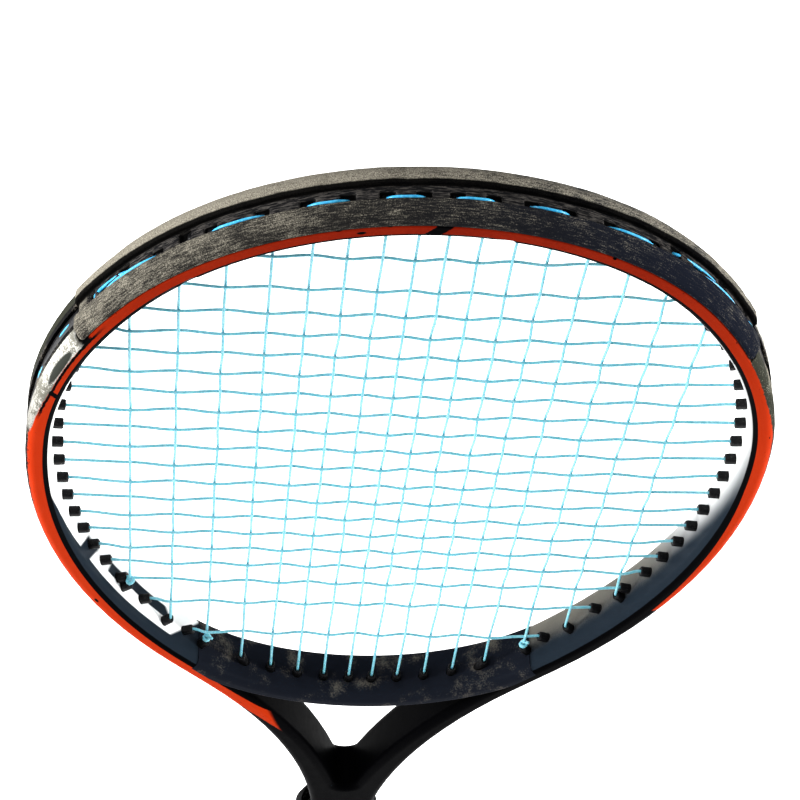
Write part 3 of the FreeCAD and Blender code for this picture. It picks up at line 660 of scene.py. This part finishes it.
    # Painted shadow: black on the frame just below the bumper's end, added to the black edge of the worn
    # patch
    tongue_shadow = s.between(51.0, 55.2, bright_turn, 0.4) * s.step(4.4, 4.8, patch_level)
    torn_edge_and_tongue_shadow = s.most(torn_edge_and_tongue_shadow, tongue_shadow)
    outside = s.mix(torn_edge_and_tongue_shadow, outside, BLACK)
    outside = s.mix(bright, outside, undercoat)
    outside = s.mix(olive, outside, olive_paint)

    colour = s.mix(inner, outside, inside)
    gloss = 0.30 + 0.18 * s.noise(0.3) + (bright + olive + dusty) * 0.25
    height = worn_orange + ragged * 0.12 + fine * 0.05
    s.finish(colour, gloss, height, 0.08)
    return material


def bridge_paint():
    material, s = new_material("bridge_paint")
    fine = s.noise(1.4, 3.0)
    broad = s.noise(0.08, 3.0)
    # Pale dusty patches on the dark paint
    pale_patches = s.step(0.52, 0.75, broad + (fine - 0.5) * 0.4)
    colour = s.mix(pale_patches * 0.55, rgb(0.012, 0.014, 0.02), rgb(0.16, 0.145, 0.12))
    s.finish(colour, 0.32 + fine * 0.2, fine, 0.03)
    return material


# --- other materials ---

def bumper_nylon():
    """Black nylon, ground down along the top of both ridges; its pale patches, dusty and partly painted
    light, gather on the left, at the rear and on the ridge tops, and its groove and pockets are painted dark
    as painted shade.
    """
    material, s = new_material("bumper_nylon")
    heading = s.math("ARCTAN2", s.x, s.z - float(ARCS[0][0][2]))
    along = heading * 123.0
    up = s.z - float(ARCS[0][0][2])
    level = s.math("SQRT", s.x * s.x + up * up) - HEAD_RADII[0]
    streaks = s.noise(1.0, 4.0, 0.7, s.vector(along * 0.22, s.y * 1.9, level * 1.9))
    blotches = s.noise(0.14, 4.0, 0.6)
    grit = s.noise(2.6, 3.0, 0.7)
    # Painted light mixed with dusty patches: these masks make the pale patches more common on the left, at
    # the rear and on the ridge tops, where light falls
    left = s.step(-60.0, 130.0, -along)
    rear = s.step(-2.0, 5.0, s.y)
    ridge = s.step(9.3, 10.6, level + (blotches - 0.5) * 1.2)
    patchy = s.noise(0.035, 3.0, 0.6)
    pale_patches = (streaks - 0.5) * 2.2 + (blotches - 0.5) * 0.7 + (grit - 0.5) * 1.6 + (patchy - 0.5) * 0.8
    pale_patches = s.step(0.0, 1.1, pale_patches + left * 0.62 + rear * 0.68 + ridge * 0.10 - 0.12)
    slate = s.mix(s.step(-60.0, 100.0, along), rgb(0.02, 0.019, 0.018), rgb(0.01, 0.012, 0.019))
    pale = s.mix(s.step(0.35, 0.75, grit), rgb(0.15, 0.138, 0.112), rgb(0.42, 0.39, 0.32))
    colour = s.mix(pale_patches * 0.85, slate, pale)
    in_groove = (1 - s.step(2.3, 2.9, abs(s.y))) * (1 - s.step(9.4, 10.2, level))
    # Painted shadow: near-black on the rear wall of the groove and the inner slope of the rear ridge
    rear_wall_shadow = s.between(2.4, 4.3, s.y + (blotches - 0.5) * 0.6, 0.35)
    colour = s.mix(rear_wall_shadow * 0.97, colour, rgb(0.001, 0.001, 0.0015))
    # Painted shade: the groove floor and its lower inner walls are kept dark, with grey dusty streaks on the
    # floor
    floor_dust = s.step(0.45, 0.62, streaks) * 0.6
    groove_dust_and_shade_colour = s.mix(floor_dust, rgb(0.012, 0.012, 0.013), rgb(0.13, 0.12, 0.11))
    colour = s.mix(in_groove, colour, groove_dust_and_shade_colour)
    # Painted shade: near-black in the deep string pockets at the barrel mouths
    pocket_shade = in_groove * (1 - s.step(8.2, 8.7, level))
    colour = s.mix(pocket_shade, colour, rgb(0.003, 0.003, 0.003))
    scratches = s.step(0.64, 0.72, streaks)
    height = streaks * 0.7 + grit * 0.3 - scratches * 0.5
    s.finish(colour, 0.62 + (grit - 0.5) * 0.3, height, 0.16)
    return material


def grommet_nylon():
    material, s = new_material("grommet_nylon")
    grit = s.noise(2.0, 3.0)
    worn = s.step(0.55, 0.72, grit)
    colour = s.mix(worn * 0.5, rgb(0.008, 0.008, 0.009), rgb(0.055, 0.054, 0.05))
    s.finish(colour, 0.28 + grit * 0.25, grit, 0.05)
    s.constant("Specular IOR Level", NYLON_SPECULAR)
    return material


def string_polyester():
    """Cyan co-polyester with a scuffed skin, paler within the hoop than outside the frame; the paler colour
    is painted light from the white backdrop shining through the string.
    """
    material, s = new_material("string_polyester")
    scuff = s.noise(0.9, 3.0)
    patch = s.step(0.35, 0.7, scuff)
    # Painted light: the strings within the hoop are paler, standing for the white backdrop shining through
    # them
    backlit_bed_colour = s.mix(patch, rgb(0.17, 0.5, 0.6), rgb(0.3, 0.62, 0.7))
    outer = s.mix(patch, rgb(0.04, 0.34, 0.6), rgb(0.1, 0.5, 0.76))
    colour = s.mix(s.step(-1.0, 2.0, rim_offset(s)), backlit_bed_colour, outer)
    s.finish(colour, 0.22 + scuff * 0.15, scuff, 0.02)
    s.constant("Specular IOR Level", STRING_SPECULAR)
    s.constant("Subsurface Weight", 0.15)
    s.constant("Subsurface Scale", 0.001)
    return material


def moulded(name, low, high, roughness, scale=0.9, depth=0.05):
    """A moulded material with fine grain that varies between two colours."""
    material, s = new_material(name)
    grain = s.noise(scale, 4.0, 0.6)
    broad = s.noise(scale * 0.12, 2.0)
    colour = s.mix(s.step(0.3, 0.75, grain * 0.6 + broad * 0.4), low, high)
    s.finish(colour, roughness + (grain - 0.5) * 0.2, grain, depth)
    return material


def staple_steel():
    material, s = new_material("staple_steel")
    brushed = s.noise(1.0, 3.0, 0.6, s.vector(s.x * 4.0, s.y * 0.6, s.z * 4.0))
    colour = s.mix(brushed, rgb(0.42, 0.42, 0.43), rgb(0.66, 0.66, 0.67))
    s.finish(colour, 0.25 + brushed * 0.2, brushed, 0.02, 1.0)
    return material


def grip_wrap():
    """Tacky synthetic wrap with fine pores and rows of small holes."""
    material, s = new_material("grip_wrap")
    grain = s.noise(2.2, 4.0, 0.65)
    broad = s.noise(0.06, 3.0)
    around = s.math("ARCTAN2", s.y, s.x) * 17.0
    turn = s.math("ARCTAN2", s.y, s.x) * (GRIP_PITCH / (2 * math.pi))
    lane = s.z - turn
    holes = s.cells(1.0, s.vector(around * 0.3, lane * 0.3, 0.0))
    hole = 1 - s.step(0.1, 0.16, holes)
    shine = s.step(0.45, 0.7, broad)
    colour = s.mix(shine * 0.6 + (grain - 0.5) * 0.4, rgb(0.01, 0.01, 0.011), rgb(0.045, 0.045, 0.047))
    # The holes are painted darker than the wrap as painted shade inside them
    colour = s.mix(hole, colour, rgb(0.002, 0.002, 0.002))
    s.finish(colour, 0.62 - shine * 0.18, grain * 0.5 - hole * 1.4, 0.22)
    return material


def tape_film():
    material, s = new_material("tape_film")
    grain = s.noise(1.5, 2.0)
    lines = s.math("SINE", s.z * 9.0) * 0.5 + 0.5
    colour = s.mix(lines * 0.4 + grain * 0.3, rgb(0.012, 0.012, 0.013), rgb(0.04, 0.04, 0.043))
    s.finish(colour, 0.3 + grain * 0.2, lines + grain, 0.04)
    return material


def floor_paper():
    material, s = new_material("floor_paper")
    grain = s.noise(0.02, 2.0)
    colour = s.mix(grain, rgb(0.93, 0.93, 0.93), rgb(0.96, 0.96, 0.96))
    s.finish(colour, 0.9)
    s.constant("Emission Color", rgb(1.0, 1.0, 1.0))
    s.constant("Emission Strength", FLOOR_GLOW)
    return material


# --- bumper guard ---

GUARD_STEP = 0.5
GUARD_END_ROUND = 3.0


def clipped(value):
    return min(1.0, max(0.0, value))


def guard_profile():
    half, shoulder, lip = GUARD_HALF, GUARD_SHOULDER, GUARD_LIP
    corners = [(GUARD_BASE, -half), (GUARD_BASE, half), (GUARD_BASE + 1.2, half), (GUARD_TOP, shoulder),
               (GUARD_TOP, lip), (GUARD_FLOOR, lip), (GUARD_FLOOR, -lip), (GUARD_TOP, -lip),
               (GUARD_TOP, -shoulder), (GUARD_BASE + 1.2, -half)]
    return rounded_profile(corners, [0, 0, 1.2, 2.4, 0.7, 0.3, 0.3, 0.7, 2.4, 1.2], 0.42)


def guard_headings():
    """Headings along the guard about a step apart, from its left end to its right end."""
    turns = [0.0]
    while turns[-1] < GUARD_END - 1e-6:
        radius = HEAD_RADII[0] if turns[-1] < ARCS[0][3] else HEAD_RADII[1]
        turns.append(min(GUARD_END, turns[-1] + GUARD_STEP / (radius + GUARD_TOP)))
    return [-t for t in reversed(turns[1:])] + turns


def pocket_centres():
    """Heading and lane of every string hole in the groove."""
    centres = []
    for end in TOP_ENDS + SIDE_ENDS:
        if end["holder"] != "guard":
            continue
        exit_point = end["exit"]
        for centre, _, _, last in ARCS:
            spoke = exit_point - centre
            heading = math.atan2(spoke[0], spoke[2])
            if heading <= last:
                break
        centres += [(heading, end["exit"][1]), (-heading, end["exit"][1])]
    return centres


def make_guard(material):
    profile = guard_profile()
    pockets = pocket_centres()
    rings = []
    for heading in guard_headings():
        radius = HEAD_RADII[0] if abs(heading) < ARCS[0][3] else HEAD_RADII[1]
        from_end = (GUARD_END - abs(heading)) * (radius + GUARD_TOP)
        rounding = math.sqrt(max(0.0, 1 - (1 - min(1.0, from_end / GUARD_END_ROUND)) ** 2))
        near = [(abs(heading - h) * (radius + GUARD_FLOOR), lane) for h, lane in pockets
                if abs(heading - h) * radius < 4.0]
        ring = []
        for d, y in profile:
            on_base = d < GUARD_BASE + 0.05
            wear = 0.0
            if not on_base:
                place = rim_point(heading, d, y)
                wear = 0.16 * rough(place, 0.09, 3.0) + 0.10 * rough(place, 0.35, 7.0)
                wear += 0.05 * rough(place, 1.1, 11.0)
                ground = max(0.0, rough((heading * 60, 0.0, 1.0 if y > 0 else -1.0), 0.35, 5.0))
                wear -= 0.35 * ground * clipped(d - 10.0)
                gouge = rough((heading * 150, y * 0.6, 0.0), 0.5, 19.0)
                wear -= 0.7 * max(0.0, gouge - 0.42) * clipped(d - 9.6)
            in_groove = abs(y) < GUARD_LIP - 0.1 and d < GUARD_FLOOR + 0.4 and not on_base
            if in_groove:
                wear *= 0.4
                for away, lane in near:
                    depth = clipped((2.6 - away) / 0.5) * clipped((1.9 - abs(y - lane)) / 0.45)
                    wear = min(wear, -1.5 * depth)
            grown = d + wear
            grown = GUARD_BASE + (grown - GUARD_BASE) * (0.55 + 0.45 * rounding)
            edge = abs(y)
            if edge > GUARD_LIP:
                edge = GUARD_LIP + (edge - GUARD_LIP) * (0.72 + 0.28 * rounding)
            ring.append(rim_point(heading, min(grown, GUARD_TOP), math.copysign(edge, y)))
        rings.append(np.array(ring))
    shape = Shape(rings)
    guard = new_piece("bumper_guard_worn", shape, material)
    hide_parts("bumper_guard")
    return guard


# --- grommet strips and barrels ---

def rounded_square(centre, across, depth_axis, half, corner_power=5.0, count=20):
    ring = []
    for k in range(count):
        angle = 2 * math.pi * (k + 0.5) / count
        c, s = math.cos(angle), math.sin(angle)
        size = half / (abs(c) ** corner_power + abs(s) ** corner_power) ** (1 / corner_power)
        ring.append(centre + across * (c * size) + depth_axis * (s * size))
    return np.array(ring)


def barrel_rings(end, seed):
    """A barrel from its root in the strip to its mouth, then down into its bore."""
    way = end["dir"]
    y_axis = np.array([0.0, 1.0, 0.0])
    across = np.cross(y_axis, way)
    long = end["length"]
    root = end["mouth"] + way * long
    cut = 0.25 * rough((seed * 3.1, 0.4, 0.2), 1.0, 2.0)
    stations = [(0.0, BARREL_HALF, 4.0), (long - 0.7, BARREL_HALF, 4.0),
                (long - 0.35, BARREL_HALF - 0.06, 4.0), (long - 0.08 - cut, BARREL_HALF - 0.22, 4.0),
                (long - cut, BARREL_HALF - 0.42, 3.4), (long - cut, BARREL_BORE + 0.12, 2.2),
                (long - 0.25 - cut, BARREL_BORE, 2.0), (long - 3.0, BARREL_BORE - 0.05, 2.0)]
    rings = []
    for away, half, power in stations:
        rings.append(rounded_square(root - way * away, across, y_axis, half, power))
    return rings


def add_barrels(shape, holder, sides):
    for index, end in enumerate(ALL_ENDS):
        if end["holder"] != holder:
            continue
        for sign in sides:
            shape.loft(barrel_rings(end if sign > 0 else on_left(end), index + 0.5 * sign))


def strip_rings(points_out, low, high):
    """Rings of a flat strip with rounded edges along points that each have their way out."""
    corners = [(low, -STRIP_HALF), (low, STRIP_HALF), (high, STRIP_HALF), (high, -STRIP_HALF)]
    profile = rounded_profile(corners, [0.2] * 4, 0.5)
    rings = []
    for point, out in points_out:
        wave = 0.06 * rough(point, 0.2, 4.0)
        rings.append(np.array([point + out * (d + wave * (d > low + 0.3)) + np.array([0, y, 0])
                               for d, y in profile]))
    return rings


def side_line():
    """The line of the hoop from the end of the guard to the foot of the right channel."""
    line = []
    start = GUARD_END + math.radians(0.5)
    for centre, radius, first, last in ARCS[1:3]:
        for heading in np.linspace(max(first, start), last, 60):
            line.append((centre + normal(heading) * radius, normal(heading)))
    for along in np.linspace(1.0, ARM_STRAIGHT - 1.0, 12):
        line.append((ARM_START + ARM_DOWN * along, ARM_OUT))
    return line


def throat_line():
    centre, radius, first, _ = ARCS[3]
    start = first + math.radians(THROAT_STRIP_START_DEG)
    headings = np.linspace(start, 2 * math.pi - start, 120)
    return [(centre + normal(h) * radius, normal(h)) for h in headings]


def make_strips(material):
    right = side_line()
    for name, node, sign in (("side_grommets_right", "grommet_strip_right", 1),
                             ("side_grommets_left", "grommet_strip_left", -1)):
        shape = Shape()
        line = right if sign > 0 else [(flipped(p), flipped(o)) for p, o in reversed(right)]
        shape.loft(strip_rings(line, *STRIP_BASE))
        add_barrels(shape, "side", (sign,))
        strip = new_piece(name, shape, material)
        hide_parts(node)
        finish_piece(strip, "racket")
    shape = Shape(strip_rings(throat_line(), *BRIDGE_STRIP))
    add_barrels(shape, "bridge", (1, -1))
    strip = new_piece("throat_grommets", shape, material)
    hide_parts("grommet_strip_throat")
    finish_piece(strip, "racket")
    shape = Shape()
    add_barrels(shape, "guard", (1, -1))
    barrels = new_piece("bumper_barrels", shape, material)
    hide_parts("bumper_guard")
    finish_piece(barrels, "racket")


def finish_piece(piece, body):
    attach(piece, body)


# --- strings ---

WEAVE_STEPS = 6
LOOP_POINTS = 19
LOOP_SUNK = 1.9
MAIN_LOOP, CROSS_LOOP = (2.3, -1.2), (0.9, 0.0)  # how far each rises and leans
FIRST_CROSS_START = 0.6
MOUTH_MARGIN = 4.0
COLUMNS = [-x for x in reversed(MAIN_X)] + list(MAIN_X)
SEED = 7
MAIN_SPREAD, CROSS_SPREAD = 0.15, 0.1
random = np.random.default_rng(SEED)
MAIN_DRIFT = random.normal(0.0, MAIN_SPREAD, (len(COLUMNS), len(CROSS_Z)))
CROSS_DRIFT = random.normal(0.0, CROSS_SPREAD, (len(COLUMNS), len(CROSS_Z)))


def cross_side(column, row):
    """1 where the cross passes behind the main, -1 in front of it and 0 where they don't meet.
    Close to a mouth each string keeps to its lane, so the cross is behind."""
    x = abs(COLUMNS[column])
    index = MAIN_X.index(x)
    z = CROSS_Z[row]
    low, high = (ends[index]["mouth"][2] for ends in (LOW_ENDS, TOP_ENDS))
    room = min(SIDE_ENDS[row]["mouth"][0] - x, z - low, high - z)
    if room < 0:
        return 0
    if room < MOUTH_MARGIN:
        return 1
    return -1 if (row + column) % 2 else 1


def eased(part):
    return (1 - math.cos(math.pi * part)) / 2


def woven(stops):
    """A smooth line through stops, where its depth eases from each crossing to the next."""
    path = []
    for here, there in zip(stops, stops[1:]):
        for k in range(WEAVE_STEPS):
            part = k / WEAVE_STEPS
            point = here + (there - here) * part
            point[1] = here[1] + (there[1] - here[1]) * eased(part)
            path.append(point)
    path.append(np.array(stops[-1], float))
    return path


def main_run(column, low, high):
    """One main from its lower mouth to its upper mouth."""
    stops = [low["mouth"]]
    for row in reversed(range(len(CROSS_Z))):
        side = cross_side(column, row)
        if side:
            drift = MAIN_DRIFT[column, row]
            stops.append(np.array([COLUMNS[column] + drift, -side * MAIN_WEAVE, CROSS_Z[row]]))
    return woven(stops + [high["mouth"]])


def cross_run(row, left, right):
    """One cross from left to right, on the other side of each main."""
    stops = [left["mouth"]]
    for column, x in enumerate(COLUMNS):
        side = cross_side(column, row)
        if side:
            stops.append(np.array([x, side * CROSS_WEAVE, CROSS_Z[row] + CROSS_DRIFT[column, row]]))
    return woven(stops + [right["mouth"]])


def outside_loop(one, two, rise, lean):
    """From inside one barrel, over the strip and into the next, leaning to one side of the groove."""
    mixed = one["holder"] != two["holder"]
    _, level, measure = HOLDERS["guard" if mixed else one["holder"]]
    left = one["exit"][0] + two["exit"][0] < 0
    side = np.array([-1.0 if left else 1.0, 1.0, 1.0])
    start, stop = one["exit"] * side, two["exit"] * side
    path = []
    for part in np.linspace(0.0, 1.0, LOOP_POINTS):
        point = start + (stop - start) * part
        distance, out = measure(point)
        arch = 1 - abs(2 * part - 1) ** 2.6
        point = point + out * (level - LOOP_SUNK + rise * arch - distance)
        point[1] += lean * math.sin(math.pi * part) ** 0.7
        path.append(point * side)
    return path


def mains_path():
    """The whole main string: up and down from the outermost right main to the outermost left one."""
    ends = []
    for column in reversed(range(len(COLUMNS))):
        index = MAIN_X.index(abs(COLUMNS[column]))
        low, high = LOW_ENDS[index], TOP_ENDS[index]
        if COLUMNS[column] < 0:
            low, high = on_left(low), on_left(high)
        ends.append((column, low, high))
    path = [ends[0][1]["exit"]]
    for k, (column, low, high) in enumerate(ends):
        run = main_run(column, low, high)
        upward = k % 2 == 0
        path += run if upward else run[::-1]
        leaving = high if upward else low
        if k + 1 < len(ends):
            following = ends[k + 1][2] if upward else ends[k + 1][1]
            path += outside_loop(leaving, following, *MAIN_LOOP)
        else:
            path.append(leaving["exit"])
    return path


def crosses_path():
    """The whole cross string: side to side from the top left to the bottom left."""
    first = on_left(SIDE_ENDS[0])
    path = [first["mouth"] + (first["exit"] - first["mouth"]) * FIRST_CROSS_START]
    for row, end in enumerate(SIDE_ENDS):
        run = cross_run(row, on_left(end), end)
        rightward = row % 2 == 0
        path += run if rightward else run[::-1]
        leaving = end if rightward else on_left(end)
        if row + 1 < len(SIDE_ENDS):
            following = SIDE_ENDS[row + 1]
            path += outside_loop(leaving, following if rightward else on_left(following), *CROSS_LOOP)
        else:
            path.append(leaving["exit"])
    return path


def make_strings(material):
    for name, node, path in (("main_string_cord", "main_string", mains_path()),
                             ("cross_string_cord", "cross_string", crosses_path())):
        shape = Shape(tube_rings(path, STRING_R, 10))
        cord = new_piece(name, shape, material)
        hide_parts(node)
        finish_piece(cord, "racket")


def knot_path(at, inward, turns, radius, tail):
    """Turns round a string, then a short tail that sticks out sideways."""
    path = []
    count = int(turns * 16)
    for k in range(count + 1):
        angle = 2 * math.pi * k / 16
        swell = radius * (1 + 0.12 * math.sin(angle * 0.7))
        around = np.array([math.cos(angle), math.sin(angle), 0])
        path.append(at + inward * (0.5 + 2.1 * k / count) + around * swell)
    last = path[-1]
    for k in range(1, 6):
        path.append(last + tail * (k * 0.75))
    return path


def make_knots(material):
    up, down = np.array([0, 0, 1.0]), np.array([0, 0, -1.0])
    places = [(LOW_ENDS[5], up, 1, (0.7, -0.5, 0.6)), (LOW_ENDS[5], up, -1, (0.8, -0.6, 0.3)),
              (LOW_ENDS[7], up, -1, (0.6, -0.7, 0.5)), (TOP_ENDS[6], down, -1, (0.5, 0.7, -0.5))]
    shape = Shape()
    for end, inward, sign, tail in places:
        at = (end["mouth"] + inward * 1.2) * (sign, 1, 1)
        tail = np.array(tail) / np.linalg.norm(tail)
        shape.loft(tube_rings(knot_path(at, inward, 2.4, 1.15, tail), 0.6, 10))
    knots = new_piece("tie_off_knots", shape, material)
    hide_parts("string_knots")
    finish_piece(knots, "racket")


# --- handle ---

GRIP_PITCH = 24.0
HANDLE_SIDES = 128
HANDLE_ANGLES = [2 * math.pi * k / HANDLE_SIDES for k in range(HANDLE_SIDES)]


def handle_ring(radius_at, z):
    radii = [radius_at(a) for a in HANDLE_ANGLES]
    return np.array([(r * math.cos(a), r * math.sin(a), z) for r, a in zip(radii, HANDLE_ANGLES)])


def flare(z):
    return CAP_FLARE * max(0.0, 1 - z / CAP_TOP) ** 2


def octagon_radius(angle, grow, power=26.0):
    """Distance from the axis to a softly cornered octagon that stands off the pallets."""
    half_x, half_y = PALLET[0] / 2 + grow, PALLET[1] / 2 + grow
    slanted = (half_x + half_y - (PALLET[2] + 0.3 * grow)) / math.sqrt(2)
    c, s = abs(math.cos(angle)), abs(math.sin(angle))
    terms = (c / half_x) ** power + (s / half_y) ** power + ((c + s) / math.sqrt(2) / slanted) ** power
    return terms ** (-1 / power)


def grip_radius(angle, z):
    """The wrapped strip: its edge shows as a raised seam that climbs round the handle."""
    phase = ((z - GRIP_BOTTOM) / GRIP_PITCH - angle / (2 * math.pi)) % 1.0
    lap = 0.28 * math.exp(-((1 - phase) / 0.1) ** 2) - 0.42 * math.exp(-(phase / 0.035) ** 2)
    wall = GRIP_WALL - 0.30 + lap + 0.04 * rough((angle * 15, z, 0.0), 0.2, 2.0)
    edge = min(1.0, (z - GRIP_BOTTOM) / 1.2 + 0.35, (GRIP_TOP - z) / 1.2 + 0.35)
    return octagon_radius(angle, flare(z) / 2 + max(0.3, wall) * edge)


def make_grip(material):
    rings = [handle_ring(lambda a: grip_radius(a, z), z) for z in np.linspace(GRIP_BOTTOM, GRIP_TOP, 355)]
    for z in (GRIP_TOP, GRIP_BOTTOM):
        rings.append(handle_ring(lambda a: octagon_radius(a, flare(z) / 2 + 0.2), z))
    grip = new_piece("wrapped_grip", Shape(rings, closed_loop=True), material)
    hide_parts("base_grip")
    finish_piece(grip, "racket")


def make_collar(material):
    """A rubber sleeve with a bead at its lower edge, shallow rings and a lip that hugs the shaft."""
    foot = ((0.0, 0.55), (0.5, 1.1), (1.4, 1.45), (2.4, 1.25), (3.0, 0.95))
    outside = [(COLLAR_BOTTOM + up, wall) for up, wall in foot]
    for k in range(3):
        base = COLLAR_BOTTOM + 3.6 + k * 2.6
        outside += [(base, 1.0), (base + 0.5, 1.3), (base + 1.3, 1.3), (base + 1.9, 1.0)]
    lip = ((5.5, 1.1), (4.0, 1.3), (2.4, 1.1), (1.0, 0.5), (0.3, -0.3), (0.0, -1.1))
    outside += [(COLLAR_TOP - down, wall) for down, wall in lip]

    def sleeve_ring(z, wall):
        return handle_ring(lambda a: octagon_radius(a, COLLAR_CLEARS_PALLETS + wall), z)

    def shaft_radius(angle, grow):
        c, s = abs(math.cos(angle)), abs(math.sin(angle))
        return ((c / (16.2 + grow)) ** 9 + (s / (11.7 + grow)) ** 9) ** (-1 / 9)

    rings = [sleeve_ring(z, wall) for z, wall in outside]
    for down, grow in ((0.0, 0.3), (0.3, 0.0), (1.7, 0.0), (2.0, 0.3)):
        rings.append(handle_ring(lambda a: shaft_radius(a, grow), COLLAR_TOP - down))
    rings += [sleeve_ring(COLLAR_TOP - 2.0, 0.0), sleeve_ring(COLLAR_BOTTOM, 0.0)]
    collar = new_piece("rubber_collar", Shape(rings, closed_loop=True), material)
    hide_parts("grip_collar")
    finish_piece(collar, "collar")


# --- carried-over parts ---

def paint(node, material):
    mesh = nodes[node].data
    if not mesh.materials:
        mesh.materials.append(material)
    for index in range(len(mesh.materials)):
        mesh.materials[index] = material


MOULDED = (  # name, nodes, two colours, then roughness, scale and depth of the grain
    ("pallet_polyurethane", ("pallet_front", "pallet_back"), (0.08, 0.08, 0.078), (0.15, 0.15, 0.145),
     (0.6,)),
    ("shaft_foam", ("foam_core_left", "foam_core_right"), (0.55, 0.48, 0.33), (0.74, 0.68, 0.52),
     (0.9, 0.6, 0.25)),
    ("weight_silicone", ("balance_weight",), (0.2, 0.2, 0.22), (0.3, 0.3, 0.32), (0.5,)),
    ("cap_nylon", ("butt_cap",), (0.01, 0.01, 0.011), (0.035, 0.035, 0.037), (0.42, 1.4, 0.05)),
    ("door_plastic", ("butt_cap_door",), (0.55, 0.065, 0.02), (0.68, 0.09, 0.03), (0.3, 1.2, 0.02)),
)


def paint_frame_parts():
    paint("frame_tube", frame_paint())
    paint("throat_bridge", bridge_paint())
    for name, painted, low, high, grain in MOULDED:
        material = moulded(name, rgb(*low), rgb(*high), *grain)
        for node in painted:
            paint(node, material)
    paint("butt_cap_staples", staple_steel())
    paint("finishing_tape", tape_film())


def make_floor():
    mesh = bpy.data.meshes.new("studio_floor")
    corners = [(x * FLOOR_HALF, y * FLOOR_HALF, 0) for x, y in ((-1, -1), (1, -1), (1, 1), (-1, 1))]
    mesh.from_pydata(corners, [], [(0, 1, 2, 3)])
    floor = bpy.data.objects.new("studio_floor", mesh)
    bpy.context.scene.collection.objects.link(floor)
    mesh.materials.append(floor_paper())


# --- build ---

make_camera()
make_studio()
make_floor()
paint_frame_parts()
guard = make_guard(bumper_nylon())
finish_piece(guard, "racket")
make_strips(grommet_nylon())
polyester = string_polyester()
make_strings(polyester)
make_knots(polyester)
make_grip(grip_wrap())
make_collar(moulded("collar_rubber", rgb(0.01, 0.01, 0.01), rgb(0.03, 0.03, 0.031), 0.6, 1.8, 0.06))
